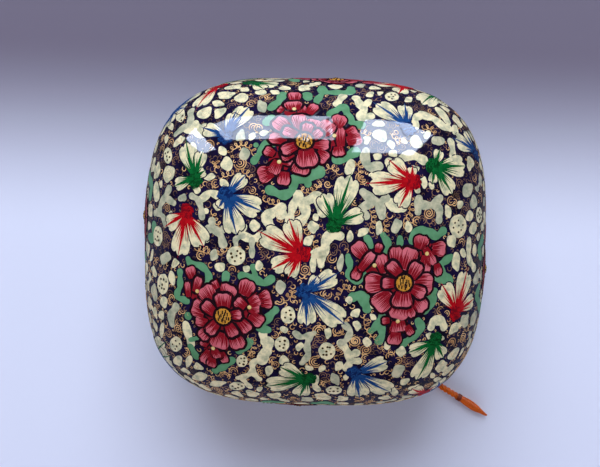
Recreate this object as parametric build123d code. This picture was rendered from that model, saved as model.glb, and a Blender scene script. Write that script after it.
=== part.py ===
from build123d import *
import math
import os

# A lidded papier mache box in the Kashmiri manner: a cushion of moulded paper pulp, sawn apart at
# its widest line into a lid and a base, with a pasteboard collar glued inside the base for the lid
# to drop over. Millimetres. +Z is up, the box stands on Z = 0, and its centre line is the Z axis.

# The outer form. Plans and profiles are superellipses: power 2 is an ellipse, and a higher power
# is squarer.
overall_width = 100.0  # across the widest line, along X
overall_depth = 96.0  # across the widest line, along Y
seam_height = 32.0  # the widest line, where lid meets base
lid_rise = 35.0  # from the seam to the crown
foot_cut = 2.0  # how far below the ground the base's curve would close, had it no flat foot
plan_power = 3.35
lid_power = 2.6
base_power = 3.2
crown_share = 0.04  # share of the width at which a dome closes on a flat, too small to see
plan_points = 40  # points of the formula that each plan curve passes through
dome_sections = 15  # plan curves that each dome's side passes through

# The moulded shells
wall = 3.0  # at the seam
crown_thickness = 3.2
floor_thickness = 3.6
lip_round = 0.4  # softened arris on both sides of the seam
foot_rim_width = 5.0
foot_hollow = 0.9  # how far the underside is sunk inside its rim

# The collar
collar_thickness = 1.6
collar_rise = 6.0  # above the seam
collar_seat = 7.0  # below the seam
collar_rebate = 0.8  # how deep the base's wall is cut back to seat it
glue_line = 0.06  # between the collar and the base's wall
lid_clearance = 0.35  # between the collar and the lid
collar_headroom = 1.2  # above the collar, inside the lid
collar_slit = 0.3  # where the bent strip's two ends meet
collar_bevel = 0.5

# The raised flower centres, dabs of thick paint. Places are shares of the half width and depth.
dab_radius = 2.1
dab_height = 0.8
side_dab_height = 7.0  # the side flowers' centres stand this far above the seam
crown_dab_places = {"back": (-0.079, 0.642), "left": (-0.501, -0.378), "right": (0.49, -0.153)}
side_dab_places = {"front": (-0.07, -1), "right": (1, -0.125), "back": (0.095, 1), "left": (-1, 0.146)}

# The short silk cord glued low in one corner of the base. Its points run from the bottom of its
# hole, down to the ground and along it, to the end that is buried in the tuft.
cord_diameter = 1.8
cord_hole_clearance = 0.1
cord_gap = 0.05  # between the cord and what is bound round it
cord_route = [
    (30.6, -36.4, 8.8),
    (34.2, -40.8, 6.1),
    (40.3, -48.2, 1.4),
    (47.6, -52.2, 1.45),
    (54.4, -56.4, 1.45),
]
arc_share = 0.45  # of the shorter run beside a corner, taken up by the corner's arc
binding_diameter = 2.7
binding_length = 1.6
tuft_diameter = 2.8
tuft_root_diameter = 2.4
tuft_tip_diameter = 0.5
tuft_length = 10.6


def plan_face(half_width, half_depth, height):
    """A flat face inside one plan curve."""
    points = []
    for index in range(plan_points):
        angle = 2 * math.pi * index / plan_points
        across = abs(math.cos(angle) / half_width) ** plan_power
        along = abs(math.sin(angle) / half_depth) ** plan_power
        reach = (across + along) ** (-1 / plan_power)
        points.append(Vector(reach * math.cos(angle), reach * math.sin(angle), height))
    return Face(Wire([Edge.make_spline(points, periodic=True)]))


def dome(inset, rise, power, end_share, direction):
    """A solid from the seam, up (1) or down (-1), to where the plan has shrunk to end_share."""
    end_angle = math.atan2((1 - end_share**power) ** (1 / power), end_share)
    outlines = []
    for index in range(dome_sections):
        angle = end_angle * index / (dome_sections - 1)
        reach = (math.cos(angle) ** power + math.sin(angle) ** power) ** (-1 / power)
        share = reach * math.cos(angle)
        height = seam_height + direction * rise * reach * math.sin(angle)
        half_width = share * (overall_width / 2 - inset)
        half_depth = share * (overall_depth / 2 - inset)
        outlines.append(plan_face(half_width, half_depth, height).outer_wire())
    return Solid.make_loft(outlines[::direction])


def prism(inset, low, high):
    """An upright block whose plan is the widest line's, drawn in by inset."""
    face = plan_face(overall_width / 2 - inset, overall_depth / 2 - inset, low)
    return extrude(face, high - low, dir=(0, 0, 1))


def lid_form():
    return dome(0, lid_rise, lid_power, crown_share, 1)


def foot_share():
    """Share of the widest line's width that is left at the ground."""
    climb = seam_height / (seam_height + foot_cut)
    return (1 - climb**base_power) ** (1 / base_power)


def outer_edge(shell, level):
    """The longest edge at a shell's lowest (0) or highest (-1) level."""
    return shell.edges().group_by(Axis.Z)[level].sort_by(Edge.length)[-1]


def make_lid_shell():
    collar_face = wall - collar_rebate + glue_line
    shell = lid_form() - dome(wall, lid_rise - crown_thickness, lid_power, crown_share, 1)
    mouth_top = seam_height + collar_rise + collar_headroom
    shell -= prism(collar_face - lid_clearance, seam_height - wall, mouth_top)
    return fillet(outer_edge(shell, 0), lip_round)


def make_base_shell():
    shell = dome(0, seam_height + foot_cut, base_power, foot_share(), -1)
    shell -= dome(wall, seam_height - floor_thickness, base_power, crown_share, -1)
    shell -= prism(wall - collar_rebate, seam_height - collar_seat, seam_height + wall)
    shell = fillet(outer_edge(shell, -1), lip_round)
    hollow = plan_face(
        foot_share() * overall_width / 2 - foot_rim_width,
        foot_share() * overall_depth / 2 - foot_rim_width,
        0,
    )
    shell -= extrude(hollow, foot_hollow, dir=(0, 0, 1))
    return shell - cord_hole()


def make_collar():
    outer_inset = wall - collar_rebate + glue_line
    low, high = seam_height - collar_seat, seam_height + collar_rise
    strip = prism(outer_inset, low, high) - prism(outer_inset + collar_thickness, low, high)
    strip = chamfer(outer_edge(strip, -1), collar_bevel)
    slit = Box(collar_slit, overall_depth, overall_depth)
    return strip - Pos(0, overall_depth / 2, seam_height) * slit


def plan_share(x, y):
    """Share of the widest line's size at which a plan point lies."""
    across = abs(2 * x / overall_width) ** plan_power
    along = abs(2 * y / overall_depth) ** plan_power
    return (across + along) ** (1 / plan_power)


def crown_point(place):
    """The lid's face above a plan place."""
    x, y = place[0] * overall_width / 2, place[1] * overall_depth / 2
    climb = lid_rise * (1 - plan_share(x, y) ** lid_power) ** (1 / lid_power)
    return Vector(x, y, seam_height + climb)


def side_point(place):
    """The lid's face at side_dab_height above the seam, in line with a place on the widest line."""
    reach = plan_share(place[0] * overall_width / 2, place[1] * overall_depth / 2)
    share = (1 - (side_dab_height / lid_rise) ** lid_power) ** (1 / lid_power)
    x = place[0] * overall_width / 2 * share / reach
    y = place[1] * overall_depth / 2 * share / reach
    return Vector(x, y, seam_height + side_dab_height)


def lid_normal(point):
    """Which way the lid's face looks at a point on it."""
    share = plan_share(point.X, point.Y)
    plan_rate = share ** (lid_power - plan_power)
    half_width, half_depth = overall_width / 2, overall_depth / 2
    across = plan_rate * abs(point.X) ** (plan_power - 1) / half_width**plan_power
    along = plan_rate * abs(point.Y) ** (plan_power - 1) / half_depth**plan_power
    upward = (point.Z - seam_height) ** (lid_power - 1) / lid_rise**lid_power
    slope = Vector(math.copysign(across, point.X), math.copysign(along, point.Y), upward)
    return slope.normalized()


def make_dab(point):
    """A low bead of paint: what a ball, sunk into the lid's face, leaves above it."""
    ball_radius = (dab_radius**2 + dab_height**2) / (2 * dab_height)
    middle = point + lid_normal(point) * (dab_height - ball_radius)
    return Pos(*middle) * Sphere(ball_radius) - lid_form()


def cord_path():
    """Straight runs joined by arcs as large as the runs allow."""
    points = [Vector(*point) for point in cord_route]
    radii = []
    for before, corner, after in zip(points, points[1:], points[2:]):
        run_in, run_out = corner - before, after - corner
        half_turn = math.radians(run_in.get_angle(run_out)) / 2
        radii.append(arc_share * min(run_in.length, run_out.length) / math.tan(half_turn))
    print("cord radii", [round(radius, 1) for radius in radii])
    return FilletPolyline(*points, radius=radii)


def cord_tube(diameter):
    path = cord_path()
    start = Plane(origin=path @ 0, z_dir=path % 0)
    tube = sweep(start * Circle(diameter / 2), path=path)
    section = math.pi * diameter**2 / 4
    print("cord length", round(path.length, 2), "volume share", tube.volume / (section * path.length))
    return tube


def cord_hole():
    """The blind hole in the base that the cord is glued into."""
    bottom, outside = Vector(*cord_route[0]), Vector(*cord_route[1])
    direction = outside - bottom
    mouth = Plane(origin=bottom, z_dir=direction)
    hole_radius = cord_diameter / 2 + cord_hole_clearance
    return extrude(mouth * Circle(hole_radius), direction.length)


def tuft_axis():
    """A plane at the cord's last corner, looking along its last run."""
    corner, end = Vector(*cord_route[-2]), Vector(*cord_route[-1])
    return Plane(origin=corner, z_dir=end - corner)


def make_binding():
    """Turns of thread that hold the tuft on the cord."""
    ring = extrude(tuft_axis() * Circle(binding_diameter / 2), binding_length)
    return ring - cord_tube(cord_diameter + 2 * cord_gap)


def make_tuft():
    """The cord's brushed-out end: a spindle that starts at the binding."""
    outline = Polyline(
        (0, tuft_length), (0, 0), (tuft_root_diameter / 2, 0)
    ) + Spline(
        (tuft_root_diameter / 2, 0),
        (tuft_diameter / 2, tuft_length * 0.4),
        (tuft_tip_diameter / 2, tuft_length),
    ) + Line((tuft_tip_diameter / 2, tuft_length), (0, tuft_length))
    spindle = revolve(Plane.XZ * make_face(outline), Axis.Z)
    start = tuft_axis()
    start = Plane(origin=start.origin + start.z_dir * binding_length, z_dir=start.z_dir)
    return start * spindle - cord_tube(cord_diameter + 2 * cord_gap)


os.makedirs("parts", exist_ok=True)
export_step(make_lid_shell(), "parts/lid_shell.step")
export_step(make_base_shell(), "parts/base_shell.step")
export_step(make_collar(), "parts/collar.step")
for side, place in crown_dab_places.items():
    export_step(make_dab(crown_point(place)), f"parts/crown_dab_{side}.step")
for side, place in side_dab_places.items():
    export_step(make_dab(side_point(place)), f"parts/side_dab_{side}.step")
export_step(cord_tube(cord_diameter), "parts/cord_tail.step")
export_step(make_binding(), "parts/cord_binding.step")
export_step(make_tuft(), "parts/cord_tuft.step")
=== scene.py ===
import bpy
import bmesh
import math
import random
import numpy as np
from mathutils import Matrix, Vector, geometry


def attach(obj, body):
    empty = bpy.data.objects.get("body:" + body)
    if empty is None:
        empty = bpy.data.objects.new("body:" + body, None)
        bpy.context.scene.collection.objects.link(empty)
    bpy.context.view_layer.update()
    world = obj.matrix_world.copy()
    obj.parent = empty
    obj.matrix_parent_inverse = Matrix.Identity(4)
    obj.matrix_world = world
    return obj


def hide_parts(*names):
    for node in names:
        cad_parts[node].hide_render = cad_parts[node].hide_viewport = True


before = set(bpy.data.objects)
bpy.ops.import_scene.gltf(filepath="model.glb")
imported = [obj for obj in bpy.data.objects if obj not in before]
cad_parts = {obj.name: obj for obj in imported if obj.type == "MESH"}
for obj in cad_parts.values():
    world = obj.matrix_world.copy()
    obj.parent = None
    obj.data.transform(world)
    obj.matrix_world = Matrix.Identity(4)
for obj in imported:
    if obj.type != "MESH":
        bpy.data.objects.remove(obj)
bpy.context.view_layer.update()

# ---- The view -----------------------------------------------------------------------------
# The box stands on a table and is looked at from almost straight above, from a little behind
# its middle, with the front at the bottom of the picture.
picture_width, picture_height = 600, 467
eye = Vector((-0.00449, 0.04794, 0.4677))
looked_at = Vector((-0.00449, 0.004035, 0.05))
camera_roll = 0.0285
focal_pixels = 1471.87
sensor_width = 36.0

upright = Vector((-math.sin(camera_roll), math.cos(camera_roll), 0))
view_ahead = (looked_at - eye).normalized()
view_right = view_ahead.cross(upright).normalized()
view_up = view_right.cross(view_ahead)
camera_data = bpy.data.cameras.new("view")
camera_data.sensor_width = sensor_width
camera_data.lens = focal_pixels / picture_width * sensor_width
camera_data.clip_start = 0.01
camera = bpy.data.objects.new("view", camera_data)
camera.matrix_world = Matrix.Translation(eye) @ Matrix(
    (view_right, view_up, -view_ahead)
).transposed().to_4x4()
bpy.context.scene.collection.objects.link(camera)
bpy.context.scene.camera = camera

# ---- The silk cord ------------------------------------------------------------------------
# A short tail of three-ply rust silk, glued into a hole low in the base's right front corner.
# It drops to the table, is bound with thread, and ends in a brushed-out tuft of its own strands.
cord_route = [  # control points from the bottom of the hole to the end inside the tuft
    (0.0306, -0.0364, 0.0088),
    (0.0342, -0.0408, 0.0061),
    (0.0403, -0.0482, 0.0014),
    (0.0476, -0.0522, 0.00145),
    (0.0544, -0.0564, 0.00145),
]
cord_diameter = 0.0018
cord_twist = 0.0042  # one turn of the plies
line_fineness = 44  # points on the cord's line for each control point
plies, ply_sides = 3, 9
ply_width, ply_reach = cord_diameter * 0.62, cord_diameter * 0.25
rust_silk, dark_rust_silk = "DC6604", "8C3602"
rust_thread, dark_rust_thread = "7E2C04", "3E1604"
floss_width, thread_width = 0.0004, 0.0002


def linear(hex_colour):
    """An sRGB hex colour as the linear values that a shader takes."""
    shares = [int(hex_colour[i : i + 2], 16) / 255 for i in (0, 2, 4)]
    return tuple(s / 12.92 if s <= 0.04045 else ((s + 0.055) / 1.055) ** 2.4 for s in shares) + (1,)


def node(tree, kind, settings=(), links=(), **values):
    """Adds a node: settings are its properties, values its sockets, links (socket, from) pairs."""
    made = tree.nodes.new(kind)
    for name, value in dict(settings).items():
        setattr(made, name, value)
    for name, value in values.items():
        made.inputs[name.replace("_", " ")].default_value = value
    for socket, source in dict(links).items():
        tree.links.new(source, made.inputs[socket])
    return made


def new_piece(name, points, faces, material=None, smooth=True):
    """A mesh piece whose points are already in the object's frame, in metres."""
    mesh = bpy.data.meshes.new(name)
    mesh.from_pydata([tuple(p) for p in points], [], [tuple(f) for f in faces])
    mesh.validate()
    if smooth:
        mesh.polygons.foreach_set("use_smooth", [True] * len(mesh.polygons))
    piece = bpy.data.objects.new(name, mesh)
    bpy.context.scene.collection.objects.link(piece)
    if material:
        mesh.materials.append(material)
    return piece


def follow(points, width_at, offset_at, sides):
    """A closed tube round a line that keeps offset_at(ring) from points, width_at(ring) thick."""
    line, last = [Vector(p) for p in points], len(points) - 1
    ways = [(line[min(i + 1, last)] - line[max(i - 1, 0)]).normalized() for i in range(last + 1)]
    side = ways[0].cross(Vector((0, 0, 1))).normalized()
    places, faces = [], []
    for i, (point, way) in enumerate(zip(line, ways)):
        side = (side - way * side.dot(way)).normalized()
        rise = way.cross(side)
        aside, upward = offset_at(i)
        middle = point + side * aside + rise * upward
        for k in range(sides):
            angle = 2 * math.pi * k / sides
            out = side * math.cos(angle) + rise * math.sin(angle)
            places.append(middle + out * width_at(i) / 2)
    for i in range(last):
        for k in range(sides):
            a, b = i * sides + k, i * sides + (k + 1) % sides
            faces.append((b, a, a + sides, b + sides))
    faces.append(tuple(range(sides)))
    faces.append(tuple(range(len(places) - 1, len(places) - 1 - sides, -1)))
    return places, faces


def new_finish(name, **surface):
    """A material with its shader's values set, its tree, and the place that its patterns follow."""
    made = bpy.data.materials.new(name)
    made.use_nodes = True
    tree = made.node_tree
    shader = tree.nodes["Principled BSDF"]
    for label, value in surface.items():
        shader.inputs[label.replace("_", " ")].default_value = value
    return made, tree, shader, node(tree, "ShaderNodeTexCoord").outputs["Object"]


def silk(name, colour, dark, fibre_width, dye_patch=0.006):
    """Spun silk, dyed: matt to the eye, with fine fibres and a colour that sinks between them."""
    made, tree, shader, place = new_finish(name, Roughness=0.55, Specular_IOR_Level=0.12,
                                           Sheen_Weight=0.03, Sheen_Roughness=0.4)
    fibres = node(tree, "ShaderNodeTexNoise", Scale=1 / fibre_width, Detail=4.0, Roughness=0.65,
                  links={"Vector": place})
    patches = node(tree, "ShaderNodeTexNoise", Scale=1 / dye_patch, Detail=2.0,
                   links={"Vector": place})
    both = node(tree, "ShaderNodeMath", {"operation": "MULTIPLY_ADD"},
                {0: fibres.outputs["Fac"], 2: patches.outputs["Fac"]})
    both.inputs[1].default_value = 0.9
    ramp = node(tree, "ShaderNodeValToRGB", links={"Fac": both.outputs[0]})
    for end, at, tone in zip(ramp.color_ramp.elements, (0.72, 1.0), (dark, colour)):
        end.position, end.color = at, linear(tone)
    tree.links.new(ramp.outputs["Color"], shader.inputs["Base Color"])
    bump = node(tree, "ShaderNodeBump", Strength=0.5, Distance=0.0001,
                links={"Height": fibres.outputs["Fac"]})
    tree.links.new(bump.outputs["Normal"], shader.inputs["Normal"])
    return made


cord_curve = bpy.data.curves.new("cord_line", "CURVE")
cord_curve.dimensions = "3D"
cord_curve.resolution_u = line_fineness
route_line = cord_curve.splines.new("NURBS")
route_line.points.add(len(cord_route) - 1)
for point, spot in zip(route_line.points, cord_route):
    point.co = (*spot, 1)
route_line.order_u = 3
route_line.use_endpoint_u = True
line_holder = bpy.data.objects.new("cord_line", cord_curve)
bpy.context.scene.collection.objects.link(line_holder)
line_now = line_holder.evaluated_get(bpy.context.evaluated_depsgraph_get())
line_mesh = bpy.data.meshes.new_from_object(line_now)
cord_line = [v.co.copy() for v in line_mesh.vertices]
bpy.data.objects.remove(line_holder)
cord_way = [0.0]
for before, after in zip(cord_line, cord_line[1:]):
    cord_way.append(cord_way[-1] + (after - before).length)


def ply_place(ply):
    """How far a ply's middle lies aside of the cord's line and above it, at each of its points."""
    def place(i):
        angle = 2 * math.pi * ply / plies + 2 * math.pi * cord_way[i] / cord_twist
        return ply_reach * math.cos(angle), ply_reach * math.sin(angle)
    return place


def beside_cord(along, angle, reach, shift=0.0):
    """A point beside the cord's line, which runs straight on past its end."""
    near = max(k for k in range(len(cord_way) - 1) if cord_way[k] <= along)
    way = (cord_line[near + 1] - cord_line[near]).normalized()
    side = way.cross(Vector((0, 0, 1))).normalized()
    return (cord_line[near] + way * (along - cord_way[near])
            + side * (reach * math.cos(angle) + shift)
            + way.cross(side) * (reach * math.sin(angle) + shift))


def bundle(name, tubes, material):
    """One piece made of several tubes, each given as its points and faces."""
    all_points, all_faces = [], []
    for points, faces in tubes:
        all_faces += [tuple(k + len(all_points) for k in face) for face in faces]
        all_points += points
    return new_piece(name, all_points, all_faces, material)


def centred(i):
    """A tube that keeps to its own line."""
    return 0, 0


cord_silk = silk("rust_silk_floss", rust_silk, dark_rust_silk, floss_width)
silk_cord = bundle("silk_cord", [follow(cord_line, lambda i: ply_width, ply_place(ply), ply_sides)
                                 for ply in range(plies)], cord_silk)

# The binding: five turns of darker thread, wound tight round the cord where the tuft starts.
binding_length, binding_turns, turn_steps, thread_diameter = 0.0016, 5, 16, 0.00036
tied_at = Vector(cord_route[3])
binding_start = cord_way[min(range(len(cord_line)), key=lambda i: (cord_line[i] - tied_at).length)]
first_turn, wound_length = binding_start + thread_diameter / 2, binding_length - thread_diameter
steps, wound_reach = binding_turns * turn_steps, cord_diameter / 2 + thread_diameter * 0.3
turns = [beside_cord(first_turn + wound_length * i / steps, 2 * math.pi * i / turn_steps,
                     wound_reach) for i in range(steps + 1)]
waxed_thread = silk("waxed_rust_thread", rust_thread, dark_rust_thread, thread_width)
binding = bundle("cord_thread_binding", [follow(turns, lambda i: thread_diameter, centred, 6)],
                 waxed_thread)

# The tuft: the cord's strands, unlaid and brushed out, closing again towards uneven tips.
tuft_length, tuft_root, tuft_belly = 0.0105, 0.0009, 0.00118
strand_count, strand_steps, strand_width, strand_wave = 120, 12, 0.00024, 0.00012
under_binding, table_gap = 0.0004, 0.0002
strands = random.Random(4)


def strand_path():
    """One strand's points, from under the binding to its own tip."""
    angle, spread = strands.uniform(0, 2 * math.pi), math.sqrt(strands.random())
    reach = tuft_length * strands.uniform(0.76, 0.96) + under_binding
    wave, lag = strands.uniform(-strand_wave, strand_wave), strands.uniform(0, 6)
    places = []
    for i in range(strand_steps + 1):
        share = i / strand_steps
        belly = tuft_root + (tuft_belly - tuft_root) * math.sin(math.pi * min(1, share * 1.25))
        close = 1 if share < 0.5 else 1 - 0.72 * ((share - 0.5) / 0.5) ** 1.8
        place = beside_cord(binding_start + binding_length - under_binding + reach * share, angle,
                            belly * close * spread, wave * math.sin(5 * share + lag))
        place.z = max(place.z, table_gap)
        places.append(place)
    return places


def strand_taper(i):
    """A strand's width, less towards its tip."""
    return strand_width * (1 - 0.6 * (i / strand_steps) ** 3)


tuft = bundle("cord_tuft_strands", [follow(strand_path(), strand_taper, centred, 5)
                                    for _ in range(strand_count)], cord_silk)
for piece, cad_node in ((silk_cord, "cord_tail"), (binding, "cord_binding"), (tuft, "cord_tuft")):
    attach(piece, "base")
    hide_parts(cad_node)

# ---- The moulded shells -------------------------------------------------------------------
# Lid and base are pasted paper pulp, sanded, sized and lacquered a very dark blue inside and
# out. The clear varnish over everything is thick, glossy and a little uneven.
ground_blue, ground_black = "1A133C", "0D091A"
ground_patch = 0.004  # how far the lacquer's two tones lie apart, metres
varnish_wave = 0.0035  # from one low swell of the brushed varnish to the next, metres


def varnished(name, colour, other, patch_size, mix=(0.35, 0.7), under=0.5, ripple=0.3):
    """Opaque water paint in two close tones, under clear varnish with a wavy mirror gloss."""
    made, tree, shader, place = new_finish(
        name, Roughness=under, Specular_IOR_Level=0.0, Coat_Weight=0.18, Coat_IOR=1.7,
        Coat_Roughness=0.035)
    tone = node(tree, "ShaderNodeTexNoise", Scale=1 / patch_size, Detail=3.0, Roughness=0.6,
                links={"Vector": place})
    ramp = node(tree, "ShaderNodeValToRGB", links={"Fac": tone.outputs["Fac"]})
    for end, at, paint_tone in zip(ramp.color_ramp.elements, mix, (colour, other)):
        end.position, end.color = at, linear(paint_tone)
    tree.links.new(ramp.outputs["Color"], shader.inputs["Base Color"])
    waves = node(tree, "ShaderNodeTexNoise", Scale=1 / varnish_wave, Detail=1.0,
                 links={"Vector": place})
    bump = node(tree, "ShaderNodeBump", Strength=ripple, Distance=0.0001,
                links={"Height": waves.outputs["Fac"]})
    tree.links.new(bump.outputs["Normal"], shader.inputs["Normal"])
    tree.links.new(bump.outputs["Normal"], shader.inputs["Coat Normal"])
    return made


def finish_node(name, material):
    """Gives a carried-over CAD node its finish, by its object's own slots."""
    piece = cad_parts[name]
    if not piece.material_slots:
        piece.data.materials.append(material)
    for slot in piece.material_slots:
        slot.link = "OBJECT"
        slot.material = material


# Seen as near black with a blue cast, and as bright as a mirror where a window falls on it.
ground = varnished("dark_blue_lacquer", ground_blue, ground_black, ground_patch)
for shell in ("lid_shell", "base_shell"):
    finish_node(shell, ground)

# ---- The collar ---------------------------------------------------------------------------
# A strip of pasteboard bent round inside the base and glued there, for the lid to drop over.
# It is lacquered with the inside, rubbed paler where the lid slides on it.
collar_paint = varnished("lacquered_pasteboard", "17122B", "2A2136", 0.002, under=0.6, ripple=0.5)
finish_node("collar", collar_paint)

# ---- The flower centres -------------------------------------------------------------------
# Each main flower has a raised dab of thick ochre yellow paint in its middle, let fall from a
# loaded brush: a warm yellow bead, darker in its hollows, under the same varnish.
dab_paint = varnished("thick_ochre_paint", "D2A046", "A87428", 0.001, ripple=0.6)
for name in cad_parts:
    if "dab" in name:
        finish_node(name, dab_paint)

# ---- The painted form ---------------------------------------------------------------------
# The pattern is painted by hand with a fine brush over the whole outside, and the paint stands
# a little above the ground. Every stroke here is laid on the same curved form as the shells.
half_width, half_depth, seam_height = 0.050, 0.048, 0.032
lid_rise, base_drop = 0.035, 0.034
plan_power, lid_power, base_power = 3.35, 2.6, 3.2
sunk = 0.0001  # paint's underside, below the ground's face
seam_gap = 0.00035  # the saw cut's softened edge, bare of paint on each side
longest_step = 0.003  # that a point moves at a time on its way to the form's face
rays_from, rays_to = 0.0672, 0.030  # heights between which the camera's rays are searched
ray_steps, ray_halvings, smoothing_steps = 60, 24, 10


def form_level(points):
    """How far points lie outside the box's form, and the way its face looks there."""
    x, y, z = points.T
    across, along = abs(x) / half_width, abs(y) / half_depth
    share = (across**plan_power + along**plan_power + 1e-12) ** (1 / plan_power)
    upper = z >= seam_height
    power, rise = np.where(upper, lid_power, base_power), np.where(upper, lid_rise, base_drop)
    climb = abs(z - seam_height) / rise
    rate = share ** (power - plan_power)
    slope = np.stack([rate * across ** (plan_power - 1) * np.sign(x) / half_width,
                      rate * along ** (plan_power - 1) * np.sign(y) / half_depth,
                      climb ** (power - 1) * np.sign(z - seam_height) / rise], 1) * power[:, None]
    size = np.linalg.norm(slope, axis=1) + 1e-9
    return (share**power + climb**power - 1) / size, slope / size[:, None]


def settle(points, rounds=4):
    """Points moved onto the form's face, and the way it looks there."""
    for _ in range(rounds):
        level, facing = form_level(points)
        points = points - np.clip(level, -longest_step, longest_step)[:, None] * facing
    return points, form_level(points)[1]


def seen_at(pixels):
    """Where the camera's rays through some pixels of the picture meet the form."""
    x, y = np.atleast_2d(np.array(pixels, float)).T
    rays = (np.array(view_ahead) + np.outer((x - picture_width / 2) / focal_pixels, view_right)
            - np.outer((y - picture_height / 2) / focal_pixels, view_up))
    rays /= np.linalg.norm(rays, axis=1)[:, None]
    near = (rays_from - eye.z) / rays[:, 2]
    far = (rays_to - eye.z) / rays[:, 2]
    start = np.array(eye)
    low, high = near.copy(), far.copy()
    for step in range(ray_steps):
        reach = near + (far - near) * (step + 1) / ray_steps
        met = form_level(start + rays * reach[:, None])[0] < 0
        low = np.where(met | (high < far), low, reach)
        high = np.where(met & (high >= far), reach, high)
    for _ in range(ray_halvings):
        middle = (low + high) / 2
        met = form_level(start + rays * middle[:, None])[0] < 0
        low, high = np.where(met, low, middle), np.where(met, middle, high)
    return settle(start + rays * high[:, None])[0]


def wall_spot(bearing, height):
    """The point on the box's side at a bearing in degrees from +X and at a height."""
    power, rise = (lid_power, lid_rise) if height >= seam_height else (base_power, base_drop)
    share = (1 - (abs(height - seam_height) / rise) ** power) ** (1 / power)
    x, y = math.cos(math.radians(bearing)), math.sin(math.radians(bearing))
    plan = (abs(x) / half_width) ** plan_power + (abs(y) / half_depth) ** plan_power
    reach = share / plan ** (1 / plan_power)
    return np.array((x * reach, y * reach, height))


class Sheet:
    """A small flat drawing sheet held to the form at one spot. Its drawing is in millimetres."""

    def __init__(self, spot, toward=(0, 1, 0)):
        self.spot, facing = (a[0] for a in settle(np.array(spot, float)[None]))
        along = np.array(toward, float) - facing * np.dot(toward, facing)
        self.along = along / np.linalg.norm(along)
        self.across = np.cross(self.along, facing)
        self.facing = facing

    def flat(self, points):
        """Points of the form as they lie on the sheet when it is smoothed down over the form."""
        points = np.atleast_2d(points)
        offset = points - self.spot
        reach = np.linalg.norm(offset, axis=1)
        turn = np.arccos(np.clip(form_level(points)[1] @ self.facing, -1, 1)) / 2
        drawn = np.stack([offset @ self.across, offset @ self.along], 1)
        length = np.linalg.norm(drawn, axis=1) + 1e-12
        bent = np.where(turn > 0.01, turn / np.sin(turn + 1e-9), 1)
        return drawn * (reach * bent / length)[:, None] * 1000

    def on_form(self, drawn):
        """Where drawn points lie when the sheet is smoothed down over the form, in metres."""
        held = (self.spot, self.across, self.along)
        return smoothed_down(*(np.repeat(part[None], len(drawn), 0) for part in held), drawn)[0]


def smoothed_down(spots, acrosses, alongs, drawn):
    """Drawn points, in millimetres, each walked out over the form from its own sheet's spot."""
    reach = np.linalg.norm(drawn, axis=1) / 1000
    way = drawn / (np.linalg.norm(drawn, axis=1)[:, None] + 1e-12)
    heading = way[:, :1] * acrosses + way[:, 1:] * alongs
    points = spots.copy()
    for _ in range(smoothing_steps):
        points, facing = settle(points + heading * (reach / smoothing_steps)[:, None], 2)
        heading = heading - (heading * facing).sum(1)[:, None] * facing
        heading /= np.linalg.norm(heading, axis=1)[:, None] + 1e-12
    return settle(points, 2)


def inside(points, outline):
    """Which flat points lie inside a closed outline."""
    x, y = points.T
    found = np.zeros(len(points), bool)
    for (ax, ay), (bx, by) in zip(outline, np.roll(outline, -1, 0)):
        crossed = (ay > y) != (by > y)
        found ^= crossed & (x < (bx - ax) * (y - ay) / (by - ay if by != ay else 1e-12) + ax)
    return found


paint = {}  # colour: list of (sheet, drawn points, triangles, height above the ground in mm)
strokes = {}  # colour: list of (sheet, drawn points, breadths in mm, height)
dots = {}  # colour: list of (sheet, drawn point, width in mm, height)


def lay(colour, sheet, outlines, height, grain=1.0):
    """Fills outlines, which may overlap and then run together, with paint; grain is in mm."""
    outlines = [np.array(o, float) for o in outlines]
    corners = np.vstack(outlines)
    low, high = corners.min(0), corners.max(0)
    rows = np.arange(low[1], high[1] + grain, grain * 0.87)
    grid = np.array([(x + (i % 2) * grain / 2, y) for i, y in enumerate(rows)
                     for x in np.arange(low[0], high[0] + grain, grain)])
    kept = np.zeros(len(grid), bool)
    for outline in outlines:
        kept |= inside(grid, outline)
    gap = np.sqrt(((grid[:, None] - corners[None]) ** 2).sum(2)).min(1)
    grid = grid[kept & (gap > grain * 0.4)]
    loops, start = [], 0
    for outline in outlines:
        loops.append(list(range(start, start + len(outline))))
        start += len(outline)
    made, _, faces, *_ = geometry.delaunay_2d_cdt(
        [Vector(p) for p in np.vstack([corners, grid])], [], loops, 1, 1e-5)
    made = np.array([tuple(p) for p in made])
    faces = np.array([f for f in faces if len(f) == 3], int)
    used, faces = np.unique(faces, return_inverse=True)
    paint.setdefault(colour, []).append((sheet, made[used], faces.reshape(-1, 3), height))


def draw(colour, sheet, points, breadth, height, taper=(0.4, 0.2), run_out=3.0):
    """One brush stroke along flat points, thinner at both ends, the last over 1/run_out of it."""
    points = np.array(points, float)
    share = np.linspace(0, 1, len(points))
    body = np.minimum(1, np.minimum(taper[0] + share * 5, taper[1] + (1 - share) * run_out))
    strokes.setdefault(colour, []).append((sheet, points, breadth * body, height))


def dot(colour, sheet, point, width, height):
    """One touch of the brush's tip."""
    dots.setdefault(colour, []).append((sheet, np.array(point, float), width, height))


def grown(outline, by):
    """An outline with its edge moved outwards."""
    outline = np.array(outline, float)
    tangent = np.roll(outline, -1, 0) - np.roll(outline, 1, 0)
    tangent /= np.linalg.norm(tangent, axis=1)[:, None] + 1e-12
    return outline + by * np.stack([tangent[:, 1], -tangent[:, 0]], 1)


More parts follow.
